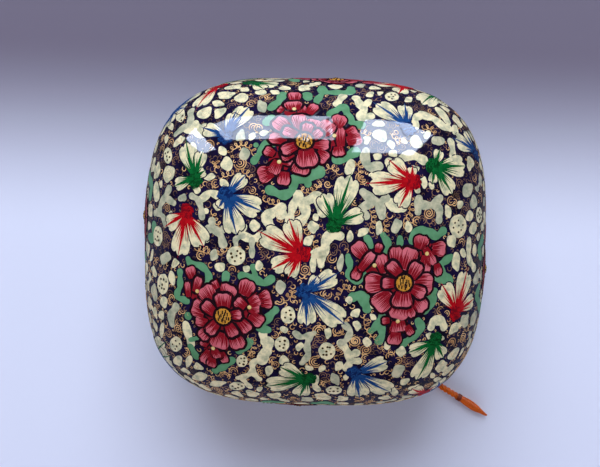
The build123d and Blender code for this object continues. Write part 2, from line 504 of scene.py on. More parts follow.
# ---- The peonies --------------------------------------------------------------------------
# Three red peonies on the lid's top and one on each side: broad rose petals, each edged in black
# and hatched in crimson from its root, round an ochre centre, with part-open blooms beside.
brush = random.Random(21)
petal_corners, petal_power, lobe_depth = 30, 2.3, 0.055
hatch_spacing, hatch_breadth = 0.60, 0.38  # of a petal's crimson lines, mm
petal_step = 0.009  # that each petal lies higher than the one before, mm
crown_round, bloom_round, side_round = 7.8, 3.0, 5.4  # radii of the crimson under petals, mm
black_round, ochre_round, fleck_round = 3.0, 2.25, 2.35  # radii round each centre, mm
under_height, bloom_height, black_height, ochre_height = 0.06, 0.055, 0.40, 0.43  # mm
eye_width, eye_height, fleck_width = 1.15, 0.42, 0.46  # mm
petal_layers = (  # name, height of its paint and breadth of its black edge in mm, and fullness
    ("under", 0.07, 0.60, 1.22), ("cups", 0.155, 0.92, 1.3),
    ("outer", 0.17, 0.78, 1.26), ("inner", 0.30, 0.92, 1.13),
)
peonies = {  # each petal by its root's pixel, its tip's pixel and its half breadth in millimetres
    "back": {
        "middle": (304.3, 141.4),
        "under": [
            (295, 103, 295, 92, 2.0), (284, 111, 278, 108, 1.5), (301, 115, 302, 105, 1.5),
            (308, 115, 316, 104, 1.7), (275, 155, 264, 149, 1.5), (274, 171, 258, 177, 2.5),
            (285, 171, 283, 186, 1.9), (281, 160, 294, 160, 1.9), (336, 129, 341, 115, 2.2),
            (346, 134, 357, 129, 1.5), (346, 142, 362, 137, 2.1), (338, 146, 339, 157, 1.9),
        ],
        "cups": [(294, 111, 293, 101, 2.6), (279, 160, 272, 175, 1.9), (341, 148, 340, 127, 1.5)],
        "outer": [
            (288, 141, 268, 137, 1.8), (291, 132, 274, 119, 2.3), (301, 131, 298, 114, 2.2),
            (311, 133, 315, 119, 2.2), (318, 137, 332, 122, 2.5), (312, 144, 330, 145, 1.9),
            (316, 152, 328, 161, 2.0), (303, 160, 299, 175, 2.5), (294, 152, 280, 157, 1.9),
        ],
        "inner": [
            (298, 136, 282, 130, 1.9), (306, 135, 309, 123, 2.0), (311, 140, 322, 131, 1.7),
            (298, 145, 281, 152, 1.9), (306, 148, 308, 168, 3.4),
        ],
        "eyes": [(294.4, 109.8), (279.3, 162.2), (334.3, 136.2)],
    },
    "left": {
        "middle": (223.5, 316),
        "under": [
            (193, 279, 189, 266, 1.8), (189, 298, 187, 281, 1.2), (208, 346, 200, 341, 1.1),
            (211, 350, 203, 363, 1.8), (221, 351, 226, 363, 1.4), (213, 357, 211, 367, 1.6),
            (259, 301, 272, 298, 2.8), (243, 296, 250, 280, 2.4), (249, 314, 263, 324, 2.1),
        ],
        "cups": [(195, 293, 200, 276, 1.4), (214, 348, 219, 359, 1.5), (249, 304, 261, 298, 1.9),
                 (248, 308, 261, 309, 1.6)],
        "outer": [
            (218, 289, 213, 280, 1.3), (225, 299, 231, 284, 2.6), (214, 303, 203, 286, 2.7),
            (206, 312, 192, 305, 2.7), (209, 323, 195, 320, 1.7), (211, 328, 200, 338, 1.9),
            (222, 331, 218, 349, 2.9), (233, 332, 240, 349, 2.4), (239, 319, 250, 332, 1.9),
            (246, 308, 235, 299, 1.8),
        ],
        "inner": [
            (224, 309, 223, 292, 2.9), (216, 314, 203, 302, 2.1), (218, 321, 208, 334, 2.0),
            (228, 323, 236, 337, 2.1), (230, 315, 243, 314, 1.8),
        ],
        "eyes": [(197.9, 291), (213.6, 347.6), (249.6, 307)],
    },
    "right": {
        "middle": (403.6, 283),
        "under": [
            (367, 259, 354, 243, 2.2), (360, 266, 354, 280, 1.5), (377, 253, 380, 243, 1.2),
            (385, 274, 380, 254, 1.9), (419, 250, 423, 235, 2.4), (431, 249, 446, 249, 2.3),
            (436, 263, 439, 276, 1.4), (426, 254, 424, 274, 2.0), (390, 320, 381, 321, 1.2),
            (406, 325, 412, 335, 1.3), (396, 331, 393, 345, 2.2),
        ],
        "cups": [(359, 271, 374, 252, 1.4), (424, 247, 435, 265, 1.4), (398, 320, 398, 333, 2.6)],
        "outer": [
            (396, 266, 396, 246, 2.0), (404, 271, 412, 247, 2.6), (413, 283, 433, 284, 3.0),
            (413, 295, 425, 311, 2.3), (403, 301, 396, 320, 3.0), (408, 304, 413, 318, 1.4),
            (392, 293, 374, 308, 2.9), (386, 283, 364, 283, 2.8),
        ],
        "inner": [
            (400, 275, 388, 262, 2.0), (410, 279, 419, 262, 2.3), (411, 288, 425, 295, 2.1),
            (395, 283, 381, 283, 1.9), (403, 290, 401, 308, 3.4),
        ],
        "eyes": [(374.3, 265.2), (426.4, 253.5), (397.4, 320.9)],
    },
}
side_peonies = {  # where the raised centre that each is painted round lies, in plan, metres
    "front": (-0.0035, -0.048), "right": (0.050, -0.006),
    "back": (0.00475, 0.048), "left": (-0.050, 0.007),
}
side_height = 0.039  # of those centres
side_rings = (  # petals, roots' and tips' reach, half breadth, height and black edge, mm
    (8, 3.2, 8.1, 2.7, 0.17, 0.50), (5, 1.9, 5.5, 2.4, 0.30, 0.75),
)
side_buds, bud_reach = (-14, 194, 270), 8.9  # bearings on the side in degrees, reach in mm
bud_petals = ((1.7, 3.9), (-1.6, 4.1), (0.8, 4.6), (-0.7, 4.5), (0.05, 4.8))  # aside, reach


def petal(sheet, root, tip, half_breadth, height, edge):
    """A petal narrow at its root and lobed at its far end: rose on black, hatched in crimson."""
    root, tip = np.array(root), np.array(tip)
    length = np.linalg.norm(tip - root)
    ahead = (tip - root) / length
    aside = np.array((-ahead[1], ahead[0]))
    lobes, outline = brush.choice((3, 4, 5)), []
    for k in range(petal_corners):
        angle = 2 * math.pi * k / petal_corners
        c, s = math.cos(angle), math.sin(angle)
        reach = (abs(c) ** petal_power + abs(s) ** petal_power) ** (-1 / petal_power)
        u, v = c * reach, s * reach
        u *= 1 - lobe_depth * math.cos(lobes * 2 * math.asin(max(-1, min(1, v / 1.2)))) * max(0, u)
        outline.append(root + ahead * length * (0.5 + 0.5 * u)
                       + aside * half_breadth * v * (0.82 + 0.18 * u))
    lay("black_edge", sheet, [grown(outline, edge * 0.5)], height, 1.3)
    lay("rose", sheet, [grown(outline, -edge * brush.uniform(0.3, 0.5))], height + 0.012, 1.1)
    hatches = max(3, round(2 * half_breadth / hatch_spacing))
    for k in range(hatches):
        across = ((k + 0.5) / hatches * 2 - 1) * 0.92 + brush.uniform(-0.04, 0.04)
        start, end = 0.07, brush.uniform(0.55, 0.96)
        shares = [start + (end - start) * i / 4 for i in range(5)]
        line = [root + ahead * length * t + aside * half_breadth * across * (0.52 + 0.45 * t)
                for t in shares]
        draw("crimson", sheet, line, hatch_breadth, height + 0.03, (0.9, 0.2), 2.0)


def round_about(turned, reach):
    """The flat point at an angle and a distance."""
    return np.array((reach * math.cos(turned), reach * math.sin(turned)))


def round_angles(count):
    """Evenly spaced angles, once round."""
    return np.linspace(0, 2 * math.pi, count, endpoint=False)


ring = np.array([round_about(angle, 1) for angle in round_angles(28)])
peony_sheets = {}
for name, flower in peonies.items():
    sheet = peony_sheets[name] = Sheet(seen_at(flower["middle"])[0])
    lay("crimson", sheet, [ring * crown_round], under_height, 1.3)
    for layer, base, edge, fuller in petal_layers:
        for k, (root_x, root_y, tip_x, tip_y, half_breadth) in enumerate(flower[layer]):
            root, tip = sheet.flat(seen_at([(root_x, root_y), (tip_x, tip_y)]))
            petal(sheet, root, tip, half_breadth * fuller, base + petal_step * k, edge)
    for eye_pixel in flower["eyes"]:
        eye_spot = sheet.flat(seen_at(eye_pixel))[0]
        lay("crimson", sheet, [ring * bloom_round + eye_spot], bloom_height, 1.3)
        dot("ochre_dot", sheet, eye_spot, eye_width, eye_height)
for name, (x, y) in side_peonies.items():
    spot = wall_spot(math.degrees(math.atan2(y, x)), side_height)
    sheet = peony_sheets["side_" + name] = Sheet(spot, (0, 0, 1))
    for turned in side_buds:
        turned = math.radians(turned + brush.uniform(-15, 15))
        middle = round_about(turned, bud_reach)
        for k, (aside, reach) in enumerate(bud_petals):
            petal(sheet, middle + round_about(turned + aside, 0.4),
                  middle + round_about(turned + aside, reach), 1.9, 0.07 + 0.01 * k, 0.36)
        petal(sheet, middle + round_about(turned + 1.2, -1.5),
              middle + round_about(turned + 1.2, 2.3), 1.5, 0.13, 0.6)
    for count, root, tip, half_breadth, base, edge in side_rings:
        start = brush.uniform(0, 6)
        for k in range(count):
            turned = start + 2 * math.pi * k / count + brush.uniform(-0.1, 0.1)
            reach = tip * brush.uniform(0.92, 1.08) * (1 - 0.36 * max(0, math.sin(turned)))
            petal(sheet, round_about(turned, root), round_about(turned, reach),
                  half_breadth * brush.uniform(0.9, 1.1), base + petal_step * k, edge)
    lay("crimson", sheet, [ring * side_round], under_height, 1.3)
for sheet in peony_sheets.values():
    lay("black_edge", sheet, [ring * black_round], black_height, 0.9)
    lay("ochre", sheet, [ring * ochre_round], ochre_height, 0.9)

# The stamens: short black dashes of three flecks each over the raised centre, and a ring round it.
dab_radius, dab_height = 2.1, 0.8
ball = (dab_radius**2 + dab_height**2) / (2 * dab_height)
dashes, dash_turn, dash_spread, ring_flecks = 15, 2.4, 1.8, 9
for sheet in peony_sheets.values():
    for k in range(dashes):
        angle = dash_turn * k + brush.uniform(-0.3, 0.3)
        reach = dash_spread * math.sqrt((k + brush.uniform(0.2, 0.8)) / dashes)
        for step in range(3):
            spot = round_about(angle, reach) + (0, 0.3 * (step - 1))
            rise = math.sqrt(ball**2 - spot @ spot) - ball + dab_height
            dot("black_dot", sheet, spot, fleck_width, max(ochre_height, rise))
    for k in range(ring_flecks):
        angle = 2 * math.pi * (k + brush.uniform(-0.4, 0.4)) / ring_flecks
        dot("black_dot", sheet, round_about(angle, fleck_round), brush.uniform(0.35, 0.6), 0.45)

# ---- The peony leaves ---------------------------------------------------------------------
# Flat mint green leaves: broad wavy strokes that wind out from under the petals.
leaves = [  # each a run of pixels that it follows, and its half breadth in millimetres
    ([(413, 240), (415, 232), (428, 231), (436, 236), (443, 231)], 1.15),
    ([(348, 256), (350, 267), (349, 276), (357, 281), (367, 275)], 0.89),
    ([(353, 297), (361, 296), (366, 303), (367, 309)], 1.50),
    ([(367, 238), (371, 246)], 0.94),
    ([(383, 235), (388, 244), (387, 253)], 0.97),
    ([(400, 238), (400, 243)], 0.86),
    ([(451, 257), (445, 261), (440, 266), (443, 273), (450, 281), (437, 278)], 1.07),
    ([(434, 292), (431, 300), (425, 310)], 1.57),
    ([(382, 316), (376, 326), (371, 331)], 1.01),
    ([(381, 327), (382, 335), (379, 341)], 1.07),
    ([(418, 321), (421, 329), (411, 338), (404, 343)], 1.15),
    ([(188, 259), (191, 264), (199, 265), (206, 270), (209, 278), (206, 286)], 0.97),
    ([(180, 272), (180, 286), (177, 296), (187, 301)], 0.94),
    ([(226, 275), (225, 283)], 1.01),
    ([(242, 276), (250, 277), (257, 280), (264, 283), (271, 279)], 1.07),
    ([(253, 267), (255, 275)], 0.79),
    ([(188, 316)], 1.07),
    ([(275, 310), (268, 318), (260, 327), (268, 330)], 1.15),
    ([(197, 338), (190, 340)], 0.65),
    ([(191, 347), (196, 356)], 1.07),
    ([(249, 342), (239, 351)], 1.30),
    ([(232, 360), (225, 366), (215, 371)], 1.01),
    ([(274, 144), (265, 143), (261, 151), (254, 161)], 0.94),
    ([(270, 190), (283, 195), (292, 190), (294, 179)], 1.21),
    ([(300, 177), (309, 177), (319, 172)], 1.57),
    ([(308, 178), (308, 184)], 1.15),
    ([(337, 159), (346, 157), (355, 152)], 1.36),
    ([(331, 114), (343, 107), (348, 116), (353, 123), (361, 125)], 1.15),
    ([(307, 95), (308, 98)], 1.30),
    ([(321, 95), (317, 101), (315, 108)], 1.01),
    ([(271, 108), (279, 101), (283, 94)], 1.21),
    ([(267, 122), (272, 118)], 1.21),
    ([(256, 145)], 0.79),
]
leaf_run, leaf_swell = 0.5, 0.18  # from round to round, and how they swell, in their radius
leaf_height = 0.05  # in millimetres, as the next three are
side_leaf_root, side_leaf_tip, side_leaf_radius = 9.6, 2.6, 1.3
side_leaves = (0, 60, 120, 180, 235, 305)  # bearings on each side in degrees


def run_along(points, step):
    """Flat points spaced evenly along a smooth line through some others."""
    points = np.array(points, float)
    if len(points) == 1:
        return points
    ends = np.vstack([2 * points[0] - points[1], points, 2 * points[-1] - points[-2]])
    fine = [0.5 * (2 * b + (c - a) * t + (2 * a - 5 * b + 4 * c - d) * t**2
                   + (3 * b - a - 3 * c + d) * t**3)
            for a, b, c, d in zip(ends, ends[1:], ends[2:], ends[3:])
            for t in np.linspace(0, 1, 12, endpoint=False)]
    fine = np.array(fine + [points[-1]])
    way = np.concatenate([[0], np.cumsum(np.linalg.norm(np.diff(fine, axis=0), axis=1))])
    count = max(2, int(round(way[-1] / step)) + 1)
    wanted = np.linspace(0, way[-1], count)
    return np.stack([np.interp(wanted, way, fine[:, 0]), np.interp(wanted, way, fine[:, 1])], 1)


def disc(middle, radius, wobble=0.0, squeeze=1.0, turned=0.0, corners=18):
    """A hand-drawn round, or an oval where squeezed."""
    outline = []
    for k in range(corners):
        angle = 2 * math.pi * k / corners
        reach = radius * (1 + brush.uniform(-wobble, wobble))
        x, y = reach * math.cos(angle), reach * squeeze * math.sin(angle)
        outline.append((middle[0] + x * math.cos(turned) - y * math.sin(turned),
                        middle[1] + x * math.sin(turned) + y * math.cos(turned)))
    return np.array(outline)


def lobed_run(colour, sheet, points, radius, height, step, vary):
    """A winding shape of rounds run together along a line, swelling and narrowing."""
    swell, rounds = brush.uniform(0, 6), []
    for index, spot in enumerate(run_along(points, radius * step)):
        own = radius * (1 + vary * math.sin(swell + index * step * 1.7))
        rounds.append(disc(spot, own, 0.03, corners=16))
    lay(colour, sheet, rounds, height, 1.2)


for pixels, radius in leaves:
    spots = seen_at(pixels)
    sheet = Sheet(spots[len(spots) // 2])
    lobed_run("leaf_green", sheet, sheet.flat(spots), radius, leaf_height, leaf_run,
              leaf_swell)
for name, sheet in peony_sheets.items():
    if name.startswith("side_"):
        for turned in side_leaves:
            turned = math.radians(turned + brush.uniform(-10, 10))
            reach = side_leaf_root + brush.uniform(-0.4, 0.8)
            bend = brush.choice((-0.28, 0.28))
            run = [round_about(turned, reach),
                   round_about(turned + bend / 2, reach + side_leaf_tip),
                   round_about(turned + bend * 1.5, reach + 2.2)]
            lobed_run("leaf_green", sheet, run, side_leaf_radius, leaf_height, leaf_run, leaf_swell)

# ---- The fan flowers ----------------------------------------------------------------------
# Small flowers seen from the side: broad cream petals that open out of a scaly cup, with long
# strokes of the cup's colour, red, blue or green, fanned over them like a shaving brush.
fans = [  # cup's colour, the pixel of its middle, and the pixels that its petals reach to
    ("blue", (225.6, 135.5), [(250, 106), (236, 112), (203, 128)]),
    ("red", (219, 87), [(197, 109), (207, 90)]),
    ("green", (252, 83), [(279, 86), (264, 90)]),
    ("green", (195, 178), [(186, 141), (203, 150), (174, 186), (206, 170)]),
    ("blue", (226.7, 195.7), [(246, 174), (263, 211), (237, 236), (218, 208)]),
    ("red", (186.6, 213.4), [(178, 258), (205, 247), (166, 226)]),
    ("red", (301, 253.5), [(259, 231), (289, 218), (270, 269), (288, 278)]),
    ("green", (335, 223), [(351, 173), (322, 192), (365, 213)]),
    ("blue", (407, 127), [(374, 103), (404, 104)]),
    ("red", (412, 181.5), [(367, 184), (389, 160), (398, 208), (412, 166)]),
    ("green", (434.4, 167), [(466, 166), (440, 149), (453, 195), (432, 184)]),
    ("blue", (474.5, 152), [(454, 139), (463, 130)]),
    ("red", (456, 311), [(467, 269), (441, 284), (474, 298)]),
    ("blue", (306, 292), [(338, 273), (345, 325), (307, 327), (318, 275)]),
    ("green", (307, 379), [(264, 386), (279, 366), (299, 396)]),
    ("blue", (355.4, 373), [(389, 360), (392, 392), (359, 397)]),
    ("green", (434.4, 341), [(415, 381), (407, 353), (443, 358)]),
    ("green", (437, 98), [(420, 106), (428, 92)]),
    ("red", (424, 392), [(412, 388), (436, 385)]),
    ("green", (160, 352), [(166, 341), (171, 356)]),
]
wall_fans = [  # cup's colour, its bearing and height in metres, and the way it opens in degrees
    ("blue", -140, 0.040, 100), ("red", -118, 0.028, -60), ("green", -62, 0.0265, 60),
    ("blue", -48, 0.0405, 80), ("red", -28, 0.027, 150), ("green", 22, 0.0275, 100),
    ("blue", 44, 0.0265, -80), ("red", 62, 0.039, 20), ("green", 118, 0.029, 120),
    ("blue", 138, 0.0395, 90), ("red", 157, 0.0265, -110), ("green", -157, 0.0275, 60),
    ("red", -95, 0.0125, 100), ("green", -135, 0.0150, 40), ("blue", -75, 0.0130, 30),
    ("red", -8, 0.0135, 120), ("blue", 8, 0.0120, 50), ("red", 35, 0.0130, 70),
    ("red", 98, 0.0125, 60), ("green", 78, 0.0135, 120), ("blue", 128, 0.0140, 90),
    ("red", 172, 0.0130, 40), ("green", -172, 0.0125, 110), ("green", -42, 0.0150, 100),
]
fan_flank = (  # half of a petal from its root, as shares of its reach and its half breadth
    (0.05, 0.18), (0.25, 0.42), (0.48, 0.74), (0.66, 0.95), (0.80, 1.0), (0.90, 0.92),
)
fan_lobes = ((0.955, 0.70), (0.965, 0.52), (0.925, 0.36), (0.985, 0.20))
petal_share, breadth_share = 0.93, 0.54  # of the way to a tip
narrowest, widest = 2.8, 6.6  # a fan petal's breadth, mm
fan_height, fan_step = 0.07, 0.02  # the first petal's height, and how much higher the next lies, mm
edge_breadth, edge_under = 0.32, 0.012  # the dark line round a petal, and how far below it, mm
cup_back, cup_radius, cup_height = 0.6, 1.7, 0.19  # mm
curls_on_cup = 20
cup_scales = (  # angle aside of the cup's middle, reach and radius, mm
    (1.9, 0.9, 1.15), (-1.9, 0.9, 1.15), (0.75, 1.7, 0.95), (-0.75, 1.7, 0.95), (0, 2.0, 0.85),
)
fan_rays = random.Random(8)


def turned_by(x, y, angle):
    """Flat points turned round the origin."""
    return np.stack([x * math.cos(angle) - y * math.sin(angle),
                     x * math.sin(angle) + y * math.cos(angle)], 1)


def fan_petal(reach, turned, breadth):
    """A petal that widens from its root to a lobed, cut-off end."""
    far_end = [(u, -v) for u, v in fan_lobes] + [(1.02, 0.0)] + [*reversed(fan_lobes)]
    outline = [(u, -v) for u, v in fan_flank]
    outline += [(u + fan_rays.uniform(-0.012, 0.012), v) for u, v in far_end]
    outline += reversed(fan_flank)
    return turned_by(*(np.array(outline).T * np.array([[reach], [breadth / 2]])), turned)


def fan_flower(colour, sheet, tips):
    """Cream petals from a cup to some tips, each with its rays, and the cup's curled scales."""
    for k, tip in enumerate(tips):
        reach, turned = math.hypot(*tip), math.atan2(tip[1], tip[0])
        breadth = breadth_share * reach + fan_rays.uniform(-0.4, 0.4)
        breadth = max(narrowest, min(widest, breadth))
        height = fan_height + fan_step * k
        outline = fan_petal(reach * petal_share, turned, breadth)
        lay("dark_edge", sheet, [grown(outline, edge_breadth)], height - edge_under, 1.5)
        lay("cream", sheet, [outline], height, 1.2)
        rays = 9 if reach > 9 else 7
        for r in range(rays):
            across = (r / (rays - 1) * 2 - 1) + fan_rays.uniform(-0.07, 0.07)
            middle_ray = abs(r - (rays - 1) / 2) < 0.6
            length = reach * (fan_rays.uniform(0.98, 1.1) if middle_ray else
                              (0.80 - 0.22 * abs(across)) * fan_rays.uniform(0.75, 1.15))
            swing = turned + across * breadth / (2 * reach) * (2.1 - 0.9 * length / reach)
            line = [round_about(swing, length * t) for t in np.linspace(0.10, 1, 7)]
            ray_breadth, lift, run_out = (0.85, 0.04, 1.8) if middle_ray else (0.42, 0.035, 1.5)
            draw("fan_" + colour, sheet, line, ray_breadth, height + lift, (1.0, 0.06), run_out)
    away = math.atan2(*-np.sum(tips, 0)[::-1])
    cup = [disc(round_about(away, cup_back), cup_radius, 0.06)]
    for aside, reach, radius in cup_scales:
        cup.append(disc(round_about(away + aside, reach), radius, 0.08))
    lay("cup_" + colour, sheet, cup, cup_height, 1.0)
    for _ in range(curls_on_cup):
        spot = round_about(away, 0.7) + round_about(fan_rays.uniform(0, 2 * math.pi),
                                                    1.9 * math.sqrt(fan_rays.random()))
        curl = [spot + round_about(a, 0.5) for a in np.linspace(away - 1.3, away + 1.3, 6)]
        draw("fan_" + colour, sheet, curl, 0.26, 0.2, (0.4, 0.4))


for colour, middle, tips in fans:
    sheet = Sheet(seen_at(middle)[0])
    fan_flower(colour, sheet, sheet.flat(seen_at(tips)))
for colour, bearing, height, opens in wall_fans:
    sheet = Sheet(wall_spot(bearing, height), (0, 0, 1))
    count = fan_rays.choice((3, 3, 4))
    tips = []
    for k in range(count):
        angle = math.radians(opens + (k - (count - 1) / 2) * fan_rays.uniform(46, 58))
        tips.append(round_about(angle, fan_rays.uniform(7.0, 10.5)))
    fan_flower(colour, sheet, tips)

# ---- The seed pods ------------------------------------------------------------------------
# Cream rounds and ovals, dotted with two or three rows of dark seeds, and plainer rounds of cream
# and of cream washed with grey.
pods = [  # the pixel of each middle, and its half width and half height in pixels
    (236, 256, 9.5, 9.5), (158, 236, 4.5, 10), (163, 284, 5.5, 10.5),
    (458, 226, 8.5, 11.5), (288, 315, 7.5, 8.5), (282, 344, 7.5, 7.5),
    (327, 351, 8.5, 8.5), (176, 344, 6, 7.5), (242, 361, 5.5, 6), (392, 96.6, 7, 4.5),
    (479, 215, 3, 8), (180, 114, 5, 8), (168, 155.6, 4, 8), (237, 386, 8, 4),
    (334, 390, 8, 4),
]
stones = [  # plain cream rounds, given as the pods are
    (284, 329.5, 4, 3.5), (284, 360.5, 5, 5), (299.5, 346.5, 4, 4.2), (328, 333, 3.4, 5.7),
    (269, 370.5, 3.8, 5.3), (259.5, 389, 3, 2.5), (322, 368.5, 3.6, 3.4), (309, 368, 4.2, 2.7),
    (339, 366, 4.6, 4.6), (346, 377, 3, 3), (357, 325.5, 3.8, 5.2), (367, 342, 4.4, 4.8),
    (373, 317, 3.2, 3.4), (387.5, 345, 3.8, 4.6), (401, 351.5, 5, 5), (404.5, 381.5, 4.6, 3.4),
    (432.5, 375.5, 2.7, 2.7), (438, 380, 3.8, 3.1), (394, 391.5, 4, 4), (429, 336, 3, 3.4),
    (442, 338, 2.5, 2), (241.5, 98, 6.9, 4.6), (218, 103.5, 5.7, 3.2), (261, 92.3, 5.6, 2.8),
    (275, 92.3, 4.6, 2.3), (222.5, 151, 4.6, 4.6), (227, 164, 6.3, 6.7), (210, 177, 5, 3.8),
    (224, 183, 5, 4), (264, 133, 4.6, 3), (252, 136.5, 3.8, 3.8), (171, 126.5, 2.6, 3.8),
    (166.5, 139, 2, 4), (427, 134.7, 3.4, 4.6), (414, 170, 5, 4.6), (424, 182.5, 3.3, 6.2),
    (431.5, 185.5, 3, 3.8), (417.5, 190, 3, 3.6), (455, 130, 3.4, 5), (408.5, 99.7, 4.2, 2.6),
    (171, 214.5, 1.9, 4), (156.5, 192, 3.3, 9.5), (161, 184, 1.6, 3.5), (197, 190, 3.9, 3.5),
    (217.5, 206, 3.9, 4.9), (205.5, 238, 4.6, 5.3), (220, 267, 5.4, 4.6), (246.5, 268.8, 3.5, 3.5),
    (172, 278, 3.5, 7), (164, 302, 3.4, 6), (178, 360.5, 4.2, 5.4), (189, 361, 3.6, 5.6),
    (200, 376.5, 7.2, 4.4), (217.5, 383.5, 8.2, 2.8), (161.5, 315, 2.7, 4.6), (162, 330, 2.2, 7.2),
    (379, 228, 3.5, 7.2), (408.5, 227, 3.7, 5.5), (363, 232, 6, 4.2), (350, 236.5, 3.2, 6),
    (448, 211.5, 3.6, 6.4), (460, 204.5, 3, 4.2), (451.5, 241, 4.4, 7), (469.5, 216, 3.6, 5.5),
    (456, 261.5, 4, 9.6), (463, 253, 3, 4.6), (349, 300, 3.7, 3.7), (355.5, 313, 4.6, 4.6),
    (373, 306, 3, 3), (254.5, 225.7, 5, 6), (315.7, 217.3, 3, 4), (313, 227, 5.4, 6.2),
    (308.5, 240.5, 4.9, 5.6), (259, 265.7, 4, 5), (370, 94.6, 4.2, 2.6), (366.5, 140, 4.2, 4.2),
    (380, 135.5, 7.6, 6), (391, 144.5, 4.2, 4.2), (393, 153.5, 4.6, 3.6), (404, 141, 3.4, 3),
    (416, 142, 6.4, 6.4), (377.5, 156.5, 4.6, 3.4), (371, 174.5, 2.3, 2),
]
grey_stones = [  # rounds washed with grey
    (335, 379, 4.6, 6), (398, 371, 6.6, 6.3), (262, 106.5, 4.8, 6.3), (244.5, 154, 5.4, 6.3),
    (467.5, 190, 5.2, 7.4), (214, 255, 4.2, 5.6), (165.5, 258, 5.4, 6), (396.5, 226, 5, 7.8),
    (294.5, 271.5, 5, 7), (340.5, 263, 3.4, 8.6), (280.5, 287, 5, 7),
]
wall_pods = [  # bearings from +X in degrees and heights in metres
    (-125, 0.020), (-65, 0.038), (-35, 0.019), (-15, 0.043), (15, 0.019), (50, 0.041), (75, 0.023),
    (110, 0.019), (125, 0.042), (150, 0.018), (165, 0.042), (-165, 0.042), (-150, 0.019),
    (-105, 0.042), (-90, 0.020), (0, 0.021), (180, 0.019),
]
seeds = random.Random(3)


def seed_pod(sheet, outline):
    """A cream round with its seeds in rows along its longer way."""
    lay("cream", sheet, [outline], 0.06, 1.2)
    middle = outline.mean(0)
    spans = outline - middle
    _, _, axes = np.linalg.svd(spans, full_matrices=False)
    long_reach, short_reach = abs(spans @ axes[0]).max(), abs(spans @ axes[1]).max()
    rows = 3 if short_reach > 2.2 else 2
    for row in range(rows):
        across, in_row = ((row + 0.5) / rows * 2 - 1) * 0.62, 2 + row % 2
        for k in range(in_row):
            along = ((k + 0.5) / in_row * 2 - 1) * 0.72
            if along**2 + across**2 < 0.62:
                spot = middle + axes[0] * along * long_reach + axes[1] * across * short_reach
                spot = spot + np.array((seeds.uniform(-0.2, 0.2), seeds.uniform(-0.2, 0.2)))
                dot("seed", sheet, spot, seeds.uniform(0.55, 0.8), 0.08)


for x, y, reach_x, reach_y in pods:
    own = [(x + reach_x * math.cos(a) * seeds.uniform(0.95, 1.05),
            y + reach_y * math.sin(a) * seeds.uniform(0.95, 1.05)) for a in round_angles(22)]
    sheet = Sheet(seen_at((x, y))[0])
    seed_pod(sheet, sheet.flat(seen_at(own))[::-1])
for colour, rounds in (("cream", stones), ("grey", grey_stones)):
    for x, y, reach_x, reach_y in rounds:
        lean, own = seeds.uniform(-0.35, 0.35), []
        bulges = [(wave, seeds.uniform(0.03, 0.10), seeds.uniform(0, 6)) for wave in (2, 3, 4)]
        for a in round_angles(20):
            reach = 1 + sum(size * math.cos(wave * a + start) for wave, size, start in bulges)
            own.append((x + reach * reach_x * math.cos(a + lean),
                        y + reach * reach_y * math.sin(a)))
        sheet = Sheet(seen_at((x, y))[0])
        lay(colour, sheet, [sheet.flat(seen_at(own))[::-1]], 0.058, 1.3)
for bearing, height in wall_pods:
    sheet = Sheet(wall_spot(bearing, height), (0, 0, 1))
    seed_pod(sheet, disc((0, 0), 2.3, 0.05, seeds.uniform(0.7, 1.0), seeds.uniform(0, 3), 22))

